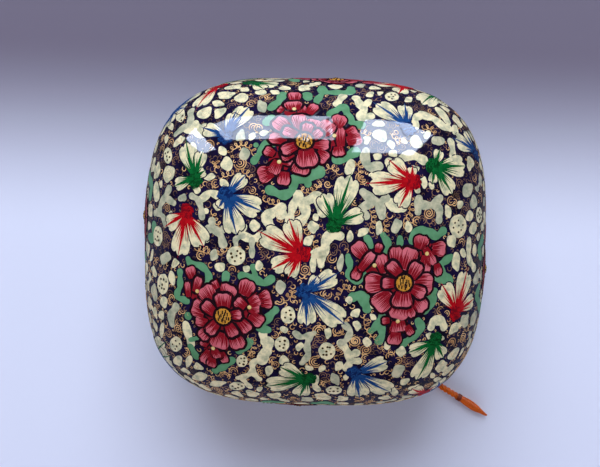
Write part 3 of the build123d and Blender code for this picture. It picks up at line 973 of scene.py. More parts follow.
# ---- The branching shapes -----------------------------------------------------------------
# Cream and grey-washed shapes that fork and hook through the ground between the flowers, each
# painted as strokes of a fuller brush that run together where they meet.
branches = [  # colour, the pixels that each follows, and its half breadth in millimetres
    ("cream", [(298, 195), (293, 206), (291, 214), (289, 222)], 1.09),
    ("cream", [(298, 195), (303, 204), (306, 213), (303, 219), (297, 224)], 1.34),
    ("cream", [(305, 202), (311, 199), (317, 197), (320, 206), (323, 212)], 1.43),
    ("cream", [(281, 208), (274, 212), (267, 217), (270, 226), (277, 235)], 1.43),
    ("cream", [(280, 208), (281, 214)], 1.68),
    ("cream", [(243, 227), (242, 234), (249, 238), (257, 238), (263, 234)], 1.13),
    ("grey", [(243, 236), (236, 239), (236, 245)], 0.74),
    ("grey", [(252, 240), (252, 248), (252, 256)], 0.78),
    ("cream", [(340, 236), (331, 235), (326, 241), (324, 251), (315, 254)], 1.43),
    ("cream", [(324, 252), (321, 259), (321, 265)], 1.09),
    ("cream", [(314, 255), (313, 263), (313, 270)], 0.83),
    ("grey", [(363, 192), (370, 198), (379, 204), (382, 216)], 1.26),
    ("grey", [(379, 203), (386, 198)], 1.09),
    ("grey", [(372, 203), (360, 209), (366, 216)], 1.13),
    ("cream", [(390, 203), (396, 207), (403, 208)], 1.43),
    ("grey", [(418, 212), (419, 198), (421, 204), (432, 205), (440, 198)], 1.15),
    ("grey", [(432, 205), (439, 209), (439, 220)], 1.15),
    ("cream", [(423, 115), (434, 119), (443, 126), (449, 128)], 1.43),
    ("cream", [(440, 111), (447, 121)], 1.60),
    ("cream", [(423, 115), (416, 118), (415, 126)], 1.10),
    ("cream", [(451, 142), (453, 152), (452, 160)], 1.09),
    ("cream", [(356, 98), (360, 104), (364, 110), (361, 117), (371, 116)], 1.26),
    ("cream", [(364, 108), (369, 101)], 0.92),
    ("cream", [(343, 96), (337, 104)], 1.09),
    ("grey", [(366, 151), (365, 158), (369, 167), (379, 166)], 1.26),
    ("cream", [(389, 162), (392, 168), (400, 160), (411, 155), (423, 160)], 1.34),
    ("cream", [(351, 163), (349, 171)], 1.18),
    ("cream", [(263, 334), (264, 342)], 1.10),
    ("cream", [(268, 342), (267, 352)], 1.51),
    ("cream", [(265, 352), (262, 360)], 1.51),
    ("cream", [(262, 358), (253, 363), (252, 372), (243, 377), (238, 378)], 0.92),
    ("cream", [(252, 372), (259, 379)], 0.92),
    ("cream", [(241, 377), (250, 387)], 0.83),
    ("grey", [(295, 333), (301, 337), (310, 335), (314, 333)], 0.87),
    ("grey", [(310, 335), (307, 346), (308, 355), (302, 363)], 0.92),
    ("grey", [(345, 325), (350, 331), (347, 339), (341, 343)], 0.92),
    ("cream", [(341, 343), (347, 351), (350, 360), (347, 368)], 1.13),
    ("cream", [(350, 356), (356, 353)], 1.09),
    ("cream", [(351, 361), (358, 361)], 1.10),
    ("cream", [(316, 377), (315, 385), (318, 390)], 0.92),
    ("cream", [(431, 327), (434, 321), (441, 321), (444, 327)], 1.34),
    ("grey", [(191, 111), (190, 123), (183, 128), (176, 134)], 1.10),
    ("cream", [(185, 128), (195, 131), (203, 134), (204, 127)], 1.26),
    ("cream", [(195, 124), (199, 130)], 1.34),
    ("grey", [(169, 189), (165, 197), (161, 204), (159, 212), (155, 213)], 1.06),
    ("grey", [(165, 197), (174, 203)], 1.01),
    ("grey", [(157, 211), (163, 217), (165, 225)], 0.92),
    ("grey", [(192, 196), (198, 200), (201, 208), (202, 217)], 0.92),
    ("cream", [(198, 200), (203, 198), (210, 193), (217, 195)], 1.06),
    ("cream", [(206, 211)], 1.01),
    ("grey", [(212, 221), (213, 228), (220, 234), (223, 244)], 1.10),
    ("grey", [(213, 228), (207, 230), (205, 236)], 1.10),
    ("grey", [(220, 232), (225, 228)], 0.92),
    ("grey", [(176, 307), (171, 316), (172, 324)], 1.26),
    ("cream", [(186, 325), (188, 334), (191, 343)], 1.34),
    ("cream", [(469, 240), (469, 258), (474, 268)], 1.09),
    ("cream", [(411, 388), (417, 386)], 0.83),
]
branch_run, branch_swell = 0.45, 0.16  # as a leaf's
branch_height = {"cream": 0.045, "grey": 0.052}  # mm
for colour, pixels, radius in branches:
    spots = seen_at(pixels)
    sheet = Sheet(spots[len(spots) // 2])
    lobed_run(colour, sheet, sheet.flat(spots), radius, branch_height[colour], branch_run,
              branch_swell)

# ---- The gold scrolls ---------------------------------------------------------------------
# Fine lines of gold paint in the dark between the shapes: chains of small loops, and spirals.
# The pebble shapes leave the ground bare round these.
chains = [  # the pixels that each follows
    [(220, 176), (231, 173), (245, 171), (252, 178)],
    [(230, 150), (241, 143), (252, 148), (255, 156)], [(212, 165), (217, 161), (217, 171)],
    [(322, 170), (331, 166), (340, 173)], [(300, 188), (309, 191), (318, 185), (322, 182)],
    [(262, 197), (272, 202), (281, 202)], [(350, 167), (360, 162), (361, 178), (366, 183)],
    [(411, 195), (412, 211), (406, 221), (407, 230)], [(385, 219), (387, 227), (385, 236)],
    [(304, 216), (306, 230), (315, 240), (316, 250)], [(338, 296), (342, 287), (356, 289)],
    [(277, 211), (281, 223)], [(366, 316), (368, 329), (379, 341), (380, 350)],
    [(409, 345), (425, 341)], [(213, 211), (217, 222), (229, 230)],
    [(250, 336), (254, 348), (246, 364)], [(194, 247), (207, 251), (219, 253), (229, 245)],
    [(319, 310), (330, 313), (342, 315), (348, 323)], [(285, 300), (294, 290), (292, 303)],
    [(371, 205), (374, 219), (371, 232)], [(392, 132), (398, 140), (408, 139)],
    [(423, 128), (430, 127), (436, 134)], [(353, 134), (362, 131), (371, 135)],
]
spirals = [  # the pixel of each middle, and its radius in pixels
    ((362, 178), 6), ((240, 163), 6), ((355, 341), 6.5), ((366, 350), 6), ((319, 331), 6),
    ((316, 362), 6.5), ((260, 244), 5), ((305, 270), 6), ((178, 329), 5), ((338, 331), 5),
    ((339, 350), 5.5), ((429, 213), 6), ((167, 208), 5), ((296, 212), 3.5), ((239, 249), 4),
]
gold_brush = random.Random(5)
gold_breadth, gold_height = 0.32, 0.012
chain_width, chain_step, arc_gap = 1.5, 0.22, 0.62
arcs_share = 0.6  # of the ornaments; the others are spirals
pixel_width = 0.29  # on the lid's top, mm
bare_ground = []  # (sheet, drawn points, how far the cream shapes keep away from them in mm)


def loop_chain(sheet, line, width):
    """A row of small loops, drawn without lifting the brush."""
    line = run_along(line, chain_step)
    way = np.gradient(line, axis=0)
    way /= np.linalg.norm(way, axis=1)[:, None] + 1e-12
    side = np.stack([-way[:, 1], way[:, 0]], 1)
    looped = np.arange(len(line)) * chain_step * 2 * math.pi / (width * 0.95)
    phase = gold_brush.uniform(0, 6) + looped
    points = (line + side * (width / 2 * np.sin(phase))[:, None]
              + way * (width * 0.42 * np.cos(phase))[:, None])
    draw("gold", sheet, points, gold_breadth, gold_height, (0.7, 0.7))


def rosette(sheet, middle, radius, colour="gold"):
    """Arcs one inside another, all open the same way."""
    opens, span = gold_brush.uniform(0, 6), gold_brush.uniform(1.9, 2.6)
    breadth = gold_breadth if colour == "gold" else gold_breadth * 0.75
    while radius > 0.3:
        arc = [middle + round_about(a, radius)
               for a in np.linspace(opens - span, opens + span, max(5, int(radius * 9)))]
        draw(colour, sheet, arc, breadth, gold_height, (0.6, 0.6))
        radius -= arc_gap
        span *= gold_brush.uniform(0.85, 1.1)


def spiral(sheet, middle, radius):
    """One line that winds out from the middle."""
    turns = max(1.1, min(3.2, radius / 0.64))
    start, hand = gold_brush.uniform(0, 6), gold_brush.choice((-1, 1))
    points = [middle + round_about(start + hand * turns * 2 * math.pi * t, radius * t)
              for t in np.linspace(0.06, 1, int(10 * turns) + 3)]
    draw("gold", sheet, points, gold_breadth, gold_height, (0.7, 0.6))


for pixels in chains:
    spots = seen_at(pixels)
    sheet = Sheet(spots[len(spots) // 2])
    line = sheet.flat(spots)
    loop_chain(sheet, line, chain_width)
    bare_ground.append((sheet, run_along(line, 0.7), chain_width / 2))
for pixel, radius in spirals:
    sheet = Sheet(seen_at(pixel)[0])
    radius *= pixel_width
    ornament = rosette if gold_brush.random() < arcs_share else spiral
    ornament(sheet, (0, 0), radius)
    bare_ground.append((sheet, disc((0, 0), radius * 0.6, corners=8), radius * 0.45))

# ---- The pebble shapes --------------------------------------------------------------------
# Between flowers and branches the whole face is packed with small cream and grey shapes like
# pebbles, smaller towards the shoulders, each bounded by its neighbours and a dark line.
pebble_brush = np.random.default_rng(12)
channel = 1.2  # the dark line between shapes, mm
pebble_spacing, pebble_lost = 4.0, 0.4  # from middle to middle, and how much less on the sides, mm
spacing_from, spacing_range = 0.80, 0.42  # by which the spacing varies
by_facing = {  # how far upward a place faces to count as the top, the value there, and elsewhere
    "gap to flowers": (0.5, 0.9, 0.6),  # mm
    "half channel": (0.6, 0.5, 0.72),  # as a share of the channel
    "dark share": (0.55, 0.20, 0.10),  # of the shapes, which are left dark and hold gold
    "joined share": (0.6, 0.5, 0.2),  # of the shapes, which run together with a neighbour
}
largest_pebble, cell_corners = 3.0, 26  # its radius in mm, and the points of an outline
softness = 7  # the power by which neighbours press in; a lower one rounds the shapes more
least_reach, least_near_flowers = 0.3, 0.25  # mm
neighbours_within, flowers_within = 9, 6  # mm
smallest_dark, smallest_chain, smallest_pebble, large_pebble = 1.0, 1.7, 0.4, 1.5  # radii, mm
grey_share, neck_share = 0.24, 0.5
pebble_height = {"cream": 0.04, "grey": 0.047}  # mm
scatter_low, scatter_high = (-0.0505, -0.0485, 0.0008), (0.0505, 0.0485, 0.0675)  # metres
scatter_count = 620000
scatter_depth, lowest_scatter = 0.001, 0.0022  # metres from the form's face, and above the table
run_together_within = 5.6  # from middle to middle, mm
cube, curl_cube = 7.0, 2.5  # in which points are filed to find their neighbours, mm
curl_room, curl_gap = 0.44, 1.1  # from a curl's middle to a shape's rim and to other curls, mm
largest_curl, curl_clear, arcs_from, curl_angle = 1.2, 0.16, 0.9, 4.6  # mm, and radians
bright_gold_edge = -4.0  # in front of this, in mm along Y, most curls take the bright gold; behind it most take its dim copy, a painted shade
bright_in_front, bright_behind = 0.65, 0.15  # shares of the curls

kept_off = [(sheet, drawn, channel * 0.8)
            for entries in paint.values() for sheet, drawn, *_ in entries] + bare_ground
taken = np.vstack([sheet.on_form(drawn) for sheet, drawn, _ in kept_off]) * 1000
taken_margin = np.concatenate([np.full(len(drawn), margin) for _, drawn, margin in kept_off])


def crowd(points, size):
    """Points filed by the cube that they lie in, for finding those near another."""
    filed = {}
    for index, key in enumerate(map(tuple, np.floor(points / size).astype(int))):
        filed.setdefault(key, []).append(index)
    return filed


def near(filed, point, size):
    """Indexes filed in the cubes round a point."""
    key = np.floor(point / size).astype(int)
    found = []
    for dx in (-1, 0, 1):
        for dy in (-1, 0, 1):
            for dz in (-1, 0, 1):
                found += filed.get((key[0] + dx, key[1] + dy, key[2] + dz), [])
    return found


def closest(filed, point, size, places):
    """How far the nearest of some filed places is from a point."""
    rivals = near(filed, point, size)
    return np.linalg.norm(places[rivals] - point, axis=1).min() if rivals else size


def top_or_side(value, upward):
    """A value of by_facing where the form faces upward by so much."""
    top_from, on_top, on_side = by_facing[value]
    return on_top if upward > top_from else on_side


# Places thrown at random over the form; each that has room enough gets a shape of its own.
scatter = pebble_brush.uniform(scatter_low, scatter_high, (scatter_count, 3))
scatter = settle(scatter[abs(form_level(scatter)[0]) < scatter_depth])[0]
scatter = scatter[scatter[:, 2] > lowest_scatter]
scatter_facing = form_level(scatter)[1]
scatter *= 1000
filed_taken = crowd(taken, cube)
chosen, chosen_size, chosen_facing, chosen_filed = [], [], [], {}
for point, out in zip(scatter, scatter_facing):
    steep = 1 - max(0, out[2])
    spacing = pebble_spacing - pebble_lost * min(1, steep * 1.3)
    spacing *= spacing_from + spacing_range * pebble_brush.random()
    key = tuple(np.floor(point / cube).astype(int))
    rivals = near(chosen_filed, point, cube)
    if rivals:
        gap = np.linalg.norm(np.array([chosen[i] for i in rivals]) - point, axis=1)
        room = np.array([(chosen_size[i] + spacing) / 2 for i in rivals])
        if (gap < room).any():
            continue
    rivals = near(filed_taken, point, cube)
    if rivals:
        gap = np.linalg.norm(taken[rivals] - point, axis=1) - taken_margin[rivals]
        if gap.min() < top_or_side("gap to flowers", out[2]):
            continue
    chosen_filed.setdefault(key, []).append(len(chosen))
    chosen.append(point)
    chosen_size.append(spacing)
    chosen_facing.append(out)
chosen, chosen_size = np.array(chosen), np.array(chosen_size)
chosen_up = np.array(chosen_facing)[:, 2]

# Each shape swells until it comes near its neighbours, and its edge is then a little unsteady.
angles = round_angles(cell_corners)
rays = np.stack([np.cos(angles), np.sin(angles)], 1)
cells, dark = [], []
for index, point in enumerate(chosen):
    sheet = Sheet(point / 1000, pebble_brush.normal(size=3))
    rivals = [i for i in near(chosen_filed, point, cube) if i != index]
    soft = np.zeros(len(rays))
    if rivals:
        there = sheet.flat(chosen[rivals] / 1000)
        gap = np.linalg.norm(there, axis=1)
        share = chosen_size[index] / (chosen_size[index] + chosen_size[rivals])
        half_channel = channel * top_or_side("half channel", chosen_up[index])
        limit = np.maximum(gap * share - half_channel, least_reach)
        close = gap < neighbours_within
        lean = np.clip(rays @ (there[close] / gap[close, None]).T, 0, 1) / limit[close]
        soft = (lean**softness).sum(1)
    soft += (1 / largest_pebble) ** softness
    reach = soft ** (-1 / softness)
    rivals = near(filed_taken, point, cube)
    if rivals:
        there = sheet.flat(taken[rivals] / 1000)
        gap = np.linalg.norm(there, axis=1)
        limit = np.maximum(gap - taken_margin[rivals], least_near_flowers)
        close = gap < flowers_within
        if close.any():
            lean = np.clip(rays @ (there[close] / gap[close, None]).T, 0, 1) / limit[close]
            reach = np.minimum(reach, 1 / np.maximum(lean.max(1), 1e-3))
    reach = (np.roll(reach, 1) + 2 * reach + np.roll(reach, -1)) / 4
    rough = 0.10 if reach.mean() > large_pebble else 0.05
    for wave in (2, 3, 4, 5):
        swell = rough * pebble_brush.uniform(-1, 1)
        reach = reach * (1 + swell * np.cos(wave * angles + pebble_brush.uniform(0, 6)))
    cells.append((sheet, rays * reach[:, None], reach))
    dark_share = top_or_side("dark share", chosen_up[index])
    dark.append(pebble_brush.random() < dark_share and reach.mean() > smallest_dark)

# Some neighbours run together, which makes the forked and lumpy shapes; dark ones hold gold.
joined = set()
for index, (sheet, outline, reach) in enumerate(cells):
    if dark[index]:
        if reach.mean() < smallest_chain or pebble_brush.random() < 0.6:
            ornament = rosette if pebble_brush.random() < arcs_share else spiral
            ornament(sheet, (0, 0), reach.mean() * 0.95)
        else:
            far = outline[reach.argmax()]
            loop_chain(sheet, [-far * 0.8, (0, 0), far * 0.85],
                       min(chain_width, reach.mean() * 0.8))
        continue
    if reach.mean() < smallest_pebble:
        continue
    colour = "grey" if pebble_brush.random() < grey_share else "cream"
    outlines = [outline]
    joined_share = top_or_side("joined share", chosen_up[index])
    if index not in joined and pebble_brush.random() < joined_share:
        rivals = [i for i in near(chosen_filed, chosen[index], cube)
                  if i != index and not dark[i] and i not in joined
                  and np.linalg.norm(chosen[i] - chosen[index]) < run_together_within]
        if rivals:
            other = rivals[pebble_brush.integers(len(rivals))]
            towards = sheet.flat(chosen[other][None] / 1000)[0]
            across = np.array((-towards[1], towards[0])) / np.linalg.norm(towards)
            neck = across * (min(reach.mean(), cells[other][2].mean()) * neck_share)
            outlines.append(np.array([-neck, towards - neck, towards + neck, neck]))
            joined.update((index, other))
    lay(colour, sheet, outlines, pebble_height[colour], 1.3)

# Short gold curls fill what dark is left between the shapes.
rims = np.vstack([sheet.on_form(outline) * 1000 for sheet, outline, _ in cells] + [taken])
filed_rims = crowd(rims, curl_cube)
curl_filed, curls, curl_count = {}, np.zeros_like(scatter), 0
for point in scatter:
    gap = closest(filed_rims, point, curl_cube, rims)
    if gap < curl_room or closest(curl_filed, point, curl_cube, curls) < curl_gap:
        continue
    key = tuple(np.floor(point / curl_cube).astype(int))
    curl_filed.setdefault(key, []).append(curl_count)
    curls[curl_count] = point
    curl_count += 1
    sheet = Sheet(point / 1000)
    radius, start = min(largest_curl, gap - curl_clear), gold_brush.uniform(0, 6)
    # The bright gold, mostly in front, and its dim brown copy, mostly behind, are painted light and
    # painted shade on one gold paint.
    bright_share = bright_in_front if point[1] < bright_gold_edge else bright_behind
    gold = "gold" if gold_brush.random() < bright_share else "old_gold"
    if radius > arcs_from:
        rosette(sheet, (0, 0), radius, gold)
    else:
        line = [round_about(start + a, radius) * (1 - 0.08 * a)
                for a in np.linspace(0, curl_angle, 7)]
        breadth = gold_breadth if gold == "gold" else gold_breadth * 0.7
        draw(gold, sheet, line, breadth, gold_height, (0.6, 0.5))

# ---- The paint itself ---------------------------------------------------------------------
# Each colour is laid as its own coat: the filled shapes as thin slabs that follow the form, the
# strokes and flecks as low ridges, all cut at the seam where the box was sawn apart.
coats = {
    # Thin water paint over the dark ground: warm white, with cooler patches where it lies thin.
    "cream": varnished("cream_water_paint", "F2EAC0", "B0B696", 0.0020, (0.42, 0.68)),
    # The same white let down with a grey wash: dull green grey, with the white showing through.
    "grey": varnished("grey_washed_cream_paint", "98A28A", "D2CFAE", 0.0022, (0.34, 0.62)),
    # Flat mint green, nearly even.
    "leaf_green": varnished("mint_leaf_paint", "568E65", "69A279", 0.003),
    # Crimson let down with white: dusty rose, deeper in patches, under the crimson lines.
    "rose": varnished("rose_petal_paint", "D67481", "BE5763", 0.0022),
    "crimson": varnished("crimson_lake_paint", "7E131E", "931A28", 0.001),
    # Lamp black, which looks brown black beside the blue ground.
    "black_edge": varnished("lamp_black_outline_paint", "160A10", "240E18", 0.002),
    "black_dot": varnished("lamp_black_fleck_paint", "160C10", "22121A", 0.001),
    # Ochre, warm yellow round the raised centres and pale where it is one touch of the brush.
    "ochre": varnished("ochre_paint", "D89C3C", "AC7626", 0.001),
    "ochre_dot": varnished("ochre_fleck_paint", "EBD9A0", "D9B35E", 0.001),
    # Dark brown touches, softer than black on the cream.
    "seed": varnished("umber_seed_paint", "4E3D1E", "2C2214", 0.001),
    # Strong single pigments for the fans' rays, with each cup a darker coat of the same.
    "fan_red": varnished("vermilion_paint", "C2101C", "9C0A15", 0.0012),
    "fan_blue": varnished("cobalt_blue_paint", "1E4F8A", "13386E", 0.0012),
    "fan_green": varnished("emerald_paint", "0C6A30", "084E24", 0.0012),
    "cup_red": varnished("dark_vermilion_paint", "8E0C1B", "640716", 0.001),
    "cup_blue": varnished("dark_cobalt_paint", "122E66", "0B1C42", 0.001),
    "cup_green": varnished("dark_emerald_paint", "084A20", "042E12", 0.001),
    # The ground's own colour, drawn round the fans' petals where they overlap.
    "dark_edge": varnished("dark_blue_outline_paint", ground_blue, ground_black, ground_patch),
    # Gold powder in gum: pale and warm where it is thick. Its second coat is a dim brown copy of
    # it, painted shade on the gold, which most curls behind the front take.
    "gold": varnished("gold_paint", "F0C78A", "B98E5C", 0.003, (0.4, 0.6), under=0.4),
    "old_gold": varnished("rubbed_gold_paint", "9A7656", "5A4434", 0.004, (0.4, 0.6), under=0.4),
}
ridge_thickness, fleck_thickness = 0.3, 0.35  # as shares of their breadth
gold_corners, stroke_corners = 3, 4


def start_tree(name, given_name, sizes):
    """A node tree that takes lines or points with a breadth and a facing, sizes and a paint."""
    tree = bpy.data.node_groups.new(name, "GeometryNodeTree")
    tree.interface.new_socket(given_name, in_out="INPUT", socket_type="NodeSocketGeometry")
    sockets = {}
    for label, kind, value in sizes + (("Paint", "NodeSocketMaterial", None),):
        socket = tree.interface.new_socket(label, in_out="INPUT", socket_type=kind)
        if value is not None:
            socket.default_value = value
        sockets[label] = socket.identifier
    tree.interface.new_socket("Mesh", in_out="OUTPUT", socket_type="NodeSocketGeometry")
    given = node(tree, "NodeGroupInput").outputs
    breadth, facing = (
        node(tree, "GeometryNodeInputNamedAttribute", {"data_type": kind}, Name=label)
        for label, kind in (("breadth", "FLOAT"), ("facing", "FLOAT_VECTOR")))
    return tree, sockets, given, breadth.outputs["Attribute"], facing.outputs["Attribute"]


def end_tree(tree, made, given):
    """Makes instances real, sets the paint and hands the mesh out."""
    real = node(tree, "GeometryNodeRealizeInstances", links={0: made.outputs[0]})
    painted = node(tree, "GeometryNodeSetMaterial",
                   links={0: real.outputs[0], "Material": given["Paint"]})
    node(tree, "NodeGroupOutput", links={0: painted.outputs[0]})


def stroke_tree():
    """Turns lines with a breadth and a facing at each point into low, flat-bottomed ridges."""
    tree, sockets, given, breadth, facing = start_tree("brush_stroke", "Lines", (
        ("Thickness", "NodeSocketFloat", ridge_thickness),
        ("Corners", "NodeSocketInt", stroke_corners),
    ))
    lines = node(tree, "GeometryNodeMeshToCurve", links={0: given["Lines"]})
    turned = node(tree, "GeometryNodeSetCurveNormal", {"mode": "FREE"},
                  {0: lines.outputs[0], "Normal": facing})
    circle = node(tree, "GeometryNodeCurvePrimitiveCircle", links={"Resolution": given["Corners"]},
                  Radius=0.5)
    flat = node(tree, "ShaderNodeCombineXYZ", links={"X": given["Thickness"]}, Y=1.0, Z=1.0)
    profile = node(tree, "GeometryNodeTransform",
                   links={0: circle.outputs[0], "Scale": flat.outputs[0]})
    ridge = node(tree, "GeometryNodeCurveToMesh", links={
        "Curve": turned.outputs[0], "Profile Curve": profile.outputs[0], "Scale": breadth,
    }, Fill_Caps=True)
    end_tree(tree, ridge, given)
    return tree, sockets


def fleck_tree():
    """Puts a low domed fleck on each point, as wide as its breadth and turned to its facing."""
    tree, sockets, given, breadth, facing = start_tree("brush_fleck", "Points", (
        ("Thickness", "NodeSocketFloat", fleck_thickness),
    ))
    spots = node(tree, "GeometryNodeMeshToPoints", links={0: given["Points"]})
    ball = node(tree, "GeometryNodeMeshIcoSphere", Radius=0.5, Subdivisions=2)
    flat = node(tree, "ShaderNodeCombineXYZ", links={"Z": given["Thickness"]}, X=1.0, Y=1.0)
    fleck = node(tree, "GeometryNodeTransform",
                 links={0: ball.outputs[0], "Scale": flat.outputs[0]})
    turn = node(tree, "FunctionNodeAlignRotationToVector", {"axis": "Z"}, {"Vector": facing})
    spread = node(tree, "GeometryNodeInstanceOnPoints", links={
        "Points": spots.outputs[0], "Instance": fleck.outputs[0], "Rotation": turn.outputs[0],
        "Scale": breadth,
    })
    end_tree(tree, spread, given)
    return tree, sockets


def grow(name, tree, sockets, points, edges, breadths, facings, **values):
    """Runs a node tree over points that carry a breadth and a facing, and keeps the plain mesh."""
    mesh = bpy.data.meshes.new(name)
    mesh.from_pydata(points.tolist(), edges, [])
    for label, kind, field, carried in (("breadth", "FLOAT", "value", breadths),
                                        ("facing", "FLOAT_VECTOR", "vector", facings)):
        attribute = mesh.attributes.new(label, kind, "POINT")
        attribute.data.foreach_set(field, carried.astype(np.float32).ravel())
    holder = bpy.data.objects.new(name, mesh)
    bpy.context.scene.collection.objects.link(holder)
    modifier = holder.modifiers.new(name, "NODES")
    modifier.node_group = tree
    for label, value in values.items():
        modifier[sockets[label]] = value
    grown_now = holder.evaluated_get(bpy.context.evaluated_depsgraph_get())
    made = bpy.data.meshes.new_from_object(grown_now)
    bpy.data.objects.remove(holder)
    return made


def laid_down(entries):
    """Every drawn point of some entries on the form, its facing, and each entry's point count."""
    drawn = [np.atleast_2d(entry[1]) for entry in entries]
    counts = [len(points) for points in drawn]
    sheets = [np.repeat(np.array([getattr(entry[0], part) for entry in entries]), counts, 0)
              for part in ("spot", "across", "along")]
    return *smoothed_down(*sheets, np.vstack(drawn)), counts


def heights_of(entries, counts):
    """The height of each point's entry above the ground, in metres, as a column."""
    return np.repeat([entry[3] / 1000 for entry in entries], counts)[:, None]


def slabs(entries):
    """Filled shapes as closed thin slabs on the form."""
    points, facing, counts = laid_down(entries)
    top, bottom = points + facing * heights_of(entries, counts), points - facing * sunk
    total, faces, start = len(points), [], 0
    for entry, count in zip(entries, counts):
        triangles = entry[2] + start
        edges = np.vstack([triangles[:, pair] for pair in ([0, 1], [1, 2], [2, 0])])
        known = set(map(tuple, edges.tolist()))
        rim = [(a, b) for a, b in known if (b, a) not in known]
        faces += triangles.tolist()
        faces += (triangles[:, ::-1] + total).tolist()
        faces += [(b, a, a + total, b + total) for a, b in rim]
        start += count
    return np.vstack([top, bottom]), faces


def cut_at_seam(mesh, body):
    """Keeps only what belongs to the lid or the base, and closes what was cut."""
    cut = bmesh.new()
    cut.from_mesh(mesh)
    way = 1 if body == "lid" else -1
    bmesh.ops.bisect_plane(
        cut, geom=cut.verts[:] + cut.edges[:] + cut.faces[:], dist=1e-7, clear_outer=True,
        plane_co=(0, 0, seam_height + way * seam_gap), plane_no=(0, 0, -way))
    open_edges = [edge for edge in cut.edges if edge.is_boundary]
    if open_edges:
        bmesh.ops.holes_fill(cut, edges=open_edges, sides=0)
    left = bpy.data.meshes.new("cut")
    cut.to_mesh(left)
    cut.free()
    return left


def read_all(items, field, width=1, kind=float):
    """One property of all of a mesh's vertices, loops or faces, as an array."""
    values = np.empty(len(items) * width, kind)
    items.foreach_get(field, values)
    return values.reshape(-1, width) if width > 1 else values


def face_outwards(mesh):
    """Shades the paint's upper side just as the form under it curves, so that the gloss runs on."""
    corners = read_all(mesh.loops, "vertex_index", kind=np.int32)
    facing = form_level(read_all(mesh.vertices, "co", 3))[1][corners]
    own = np.repeat(read_all(mesh.polygons, "normal", 3),
                    read_all(mesh.polygons, "loop_total", kind=np.int32), 0)
    under = (own * facing).sum(1) < -0.3
    facing[under] = own[under]
    mesh.polygons.foreach_set("use_smooth", [True] * len(mesh.polygons))
    mesh.normals_split_custom_set(facing.tolist())


stroke_nodes, fleck_nodes = stroke_tree(), fleck_tree()
made_coats = []
for colour, entries in paint.items():
    points, faces = slabs(entries)
    mesh = bpy.data.meshes.new(colour)
    mesh.from_pydata(points.tolist(), [], faces)
    made_coats.append((colour + "_shapes", coats[colour], mesh))
for colour, entries in strokes.items():
    points, facing, counts = laid_down(entries)
    edges, start = [], 0
    for count in counts:
        edges += [(start + k, start + k + 1) for k in range(count - 1)]
        start += count
    mesh = grow(colour, *stroke_nodes, points + facing * heights_of(entries, counts), edges,
                np.concatenate([entry[2] for entry in entries]) / 1000, facing,
                Thickness=ridge_thickness, Paint=coats[colour],
                Corners=gold_corners if "gold" in colour else stroke_corners)
    made_coats.append((colour + "_strokes", coats[colour], mesh))
for colour, entries in dots.items():
    points, facing, counts = laid_down(entries)
    mesh = grow(colour, *fleck_nodes, points + facing * heights_of(entries, counts), [],
                np.array([entry[2] for entry in entries]) / 1000, facing,
                Thickness=fleck_thickness, Paint=coats[colour])
    made_coats.append((colour + "_flecks", coats[colour], mesh))
for name, material, mesh in made_coats:
    for body in ("lid", "base"):
        part = cut_at_seam(mesh, body)
        if not len(part.polygons):
            continue
        part.materials.clear()
        part.materials.append(material)
        face_outwards(part)
        piece = bpy.data.objects.new(f"{name}_{body}", part)
        bpy.context.scene.collection.objects.link(piece)
        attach(piece, body)

# ---- The table and the light --------------------------------------------------------------
# A pale lilac table top, painted darker behind the box as painted shade, and daylight from a
# two-light window behind the box and one at its left, whose panes show in the varnish of its back
# shoulders. A soft room light fills the rest.
table_reach = 3
# The table's own pale lilac, and the darker tone painted on behind the box as shade.
sunlit_table, painted_shade_table = "DFE8FF", "6B6478"
shade_from, shade_to = -0.004, 0.060  # where the table's colour darkens into painted shade behind the box, along Y

table = new_piece("table_top", [(table_reach * x, table_reach * y, 0) for x, y in
                                ((-1, -1), (1, -1), (1, 1), (-1, 1))], [(0, 1, 2, 3)])
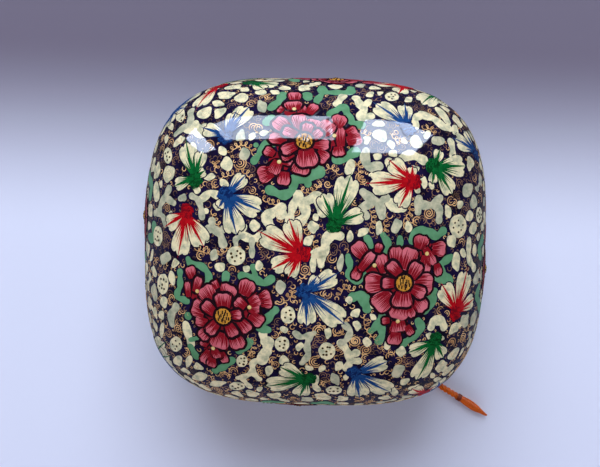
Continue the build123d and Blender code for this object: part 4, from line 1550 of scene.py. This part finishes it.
# Matt paint: no gloss. Its colour is a painted shade, darkening smoothly behind the box, besides
# the light's own fall-off.
table_paint, tree, shader, place = new_finish("matt_lilac_table", Roughness=0.8,
                                              Specular_IOR_Level=0.2)
axes = node(tree, "ShaderNodeSeparateXYZ", links={0: place})
depth = node(tree, "ShaderNodeMapRange", {"interpolation_type": "SMOOTHSTEP"},
             {"Value": axes.outputs["Y"]}, From_Min=shade_from, From_Max=shade_to)
shade = node(tree, "ShaderNodeMix", {"data_type": "RGBA"}, {0: depth.outputs[0]})
for socket, tone in ((6, sunlit_table), (7, painted_shade_table)):  # the mix node's two colours
    shade.inputs[socket].default_value = linear(tone)
tree.links.new(shade.outputs[2], shader.inputs["Base Color"])
table.data.materials.append(table_paint)

sky, daylight, room_light = (0.68, 0.79, 1.0), (0.95, 0.98, 1.08), (1.04, 0.98, 1.08)
window_distance = 0.9
lit_spot = Vector((0.0, 0.035, 0.06))  # on the lid's back shoulder; the lamps stand round it
lamps = (  # name; sides, foot and head, and depth in window distances; glow; colour
    ("window_left", (-0.74, 0.03), (0.26, 0.90), 1, 41.0, sky),
    ("window_right", (0.13, 0.97), (0.28, 1.28), 1, 52.0, sky),
    ("window_side", (-1.75, -1.15), (0.05, 1.15), 1, 58.0, sky),
    ("window_daylight", (-0.69, 0.51), (0.35, 1.5), 1, 5.3, daylight),
    ("room_from_above", (-0.9, 0.9), (1.3, 2.4), -0.1, 0.26, room_light),
    ("room_in_front", (-0.6, 0.6), (0.12, 0.5), -1, 2.15, room_light),
)
for name, (x_low, x_high), (z_low, z_high), back, glow, colour in lamps:
    mirrored = colour == sky  # a pane that is only seen in the varnish, the others only light
    light = bpy.data.lights.new(name, "AREA")
    light.shape = "RECTANGLE"
    light.size = (x_high - x_low) * window_distance
    light.size_y = (z_high - z_low) * window_distance
    light.energy = glow * math.pi * light.size * light.size_y
    light.color = colour
    lamp = bpy.data.objects.new(name, light)
    lamp.location = lit_spot + window_distance * Vector(
        ((x_low + x_high) / 2, back, (z_low + z_high) / 2))
    aim = Vector((0, -1, 0)) if mirrored else lit_spot - lamp.location
    lamp.rotation_euler = aim.to_track_quat("-Z", "Y").to_euler()
    lamp.visible_camera, lamp.visible_glossy, lamp.visible_diffuse = False, mirrored, not mirrored
    bpy.context.scene.collection.objects.link(lamp)

wall_colour, wall_glow = (1.08, 0.96, 1.03, 1), 0.133
world = bpy.data.worlds.new("room")
world.use_nodes = True
walls = world.node_tree.nodes["Background"]
walls.inputs["Color"].default_value = wall_colour
walls.inputs["Strength"].default_value = wall_glow
bpy.context.scene.world = world
bpy.context.scene.view_settings.view_transform = "Standard"
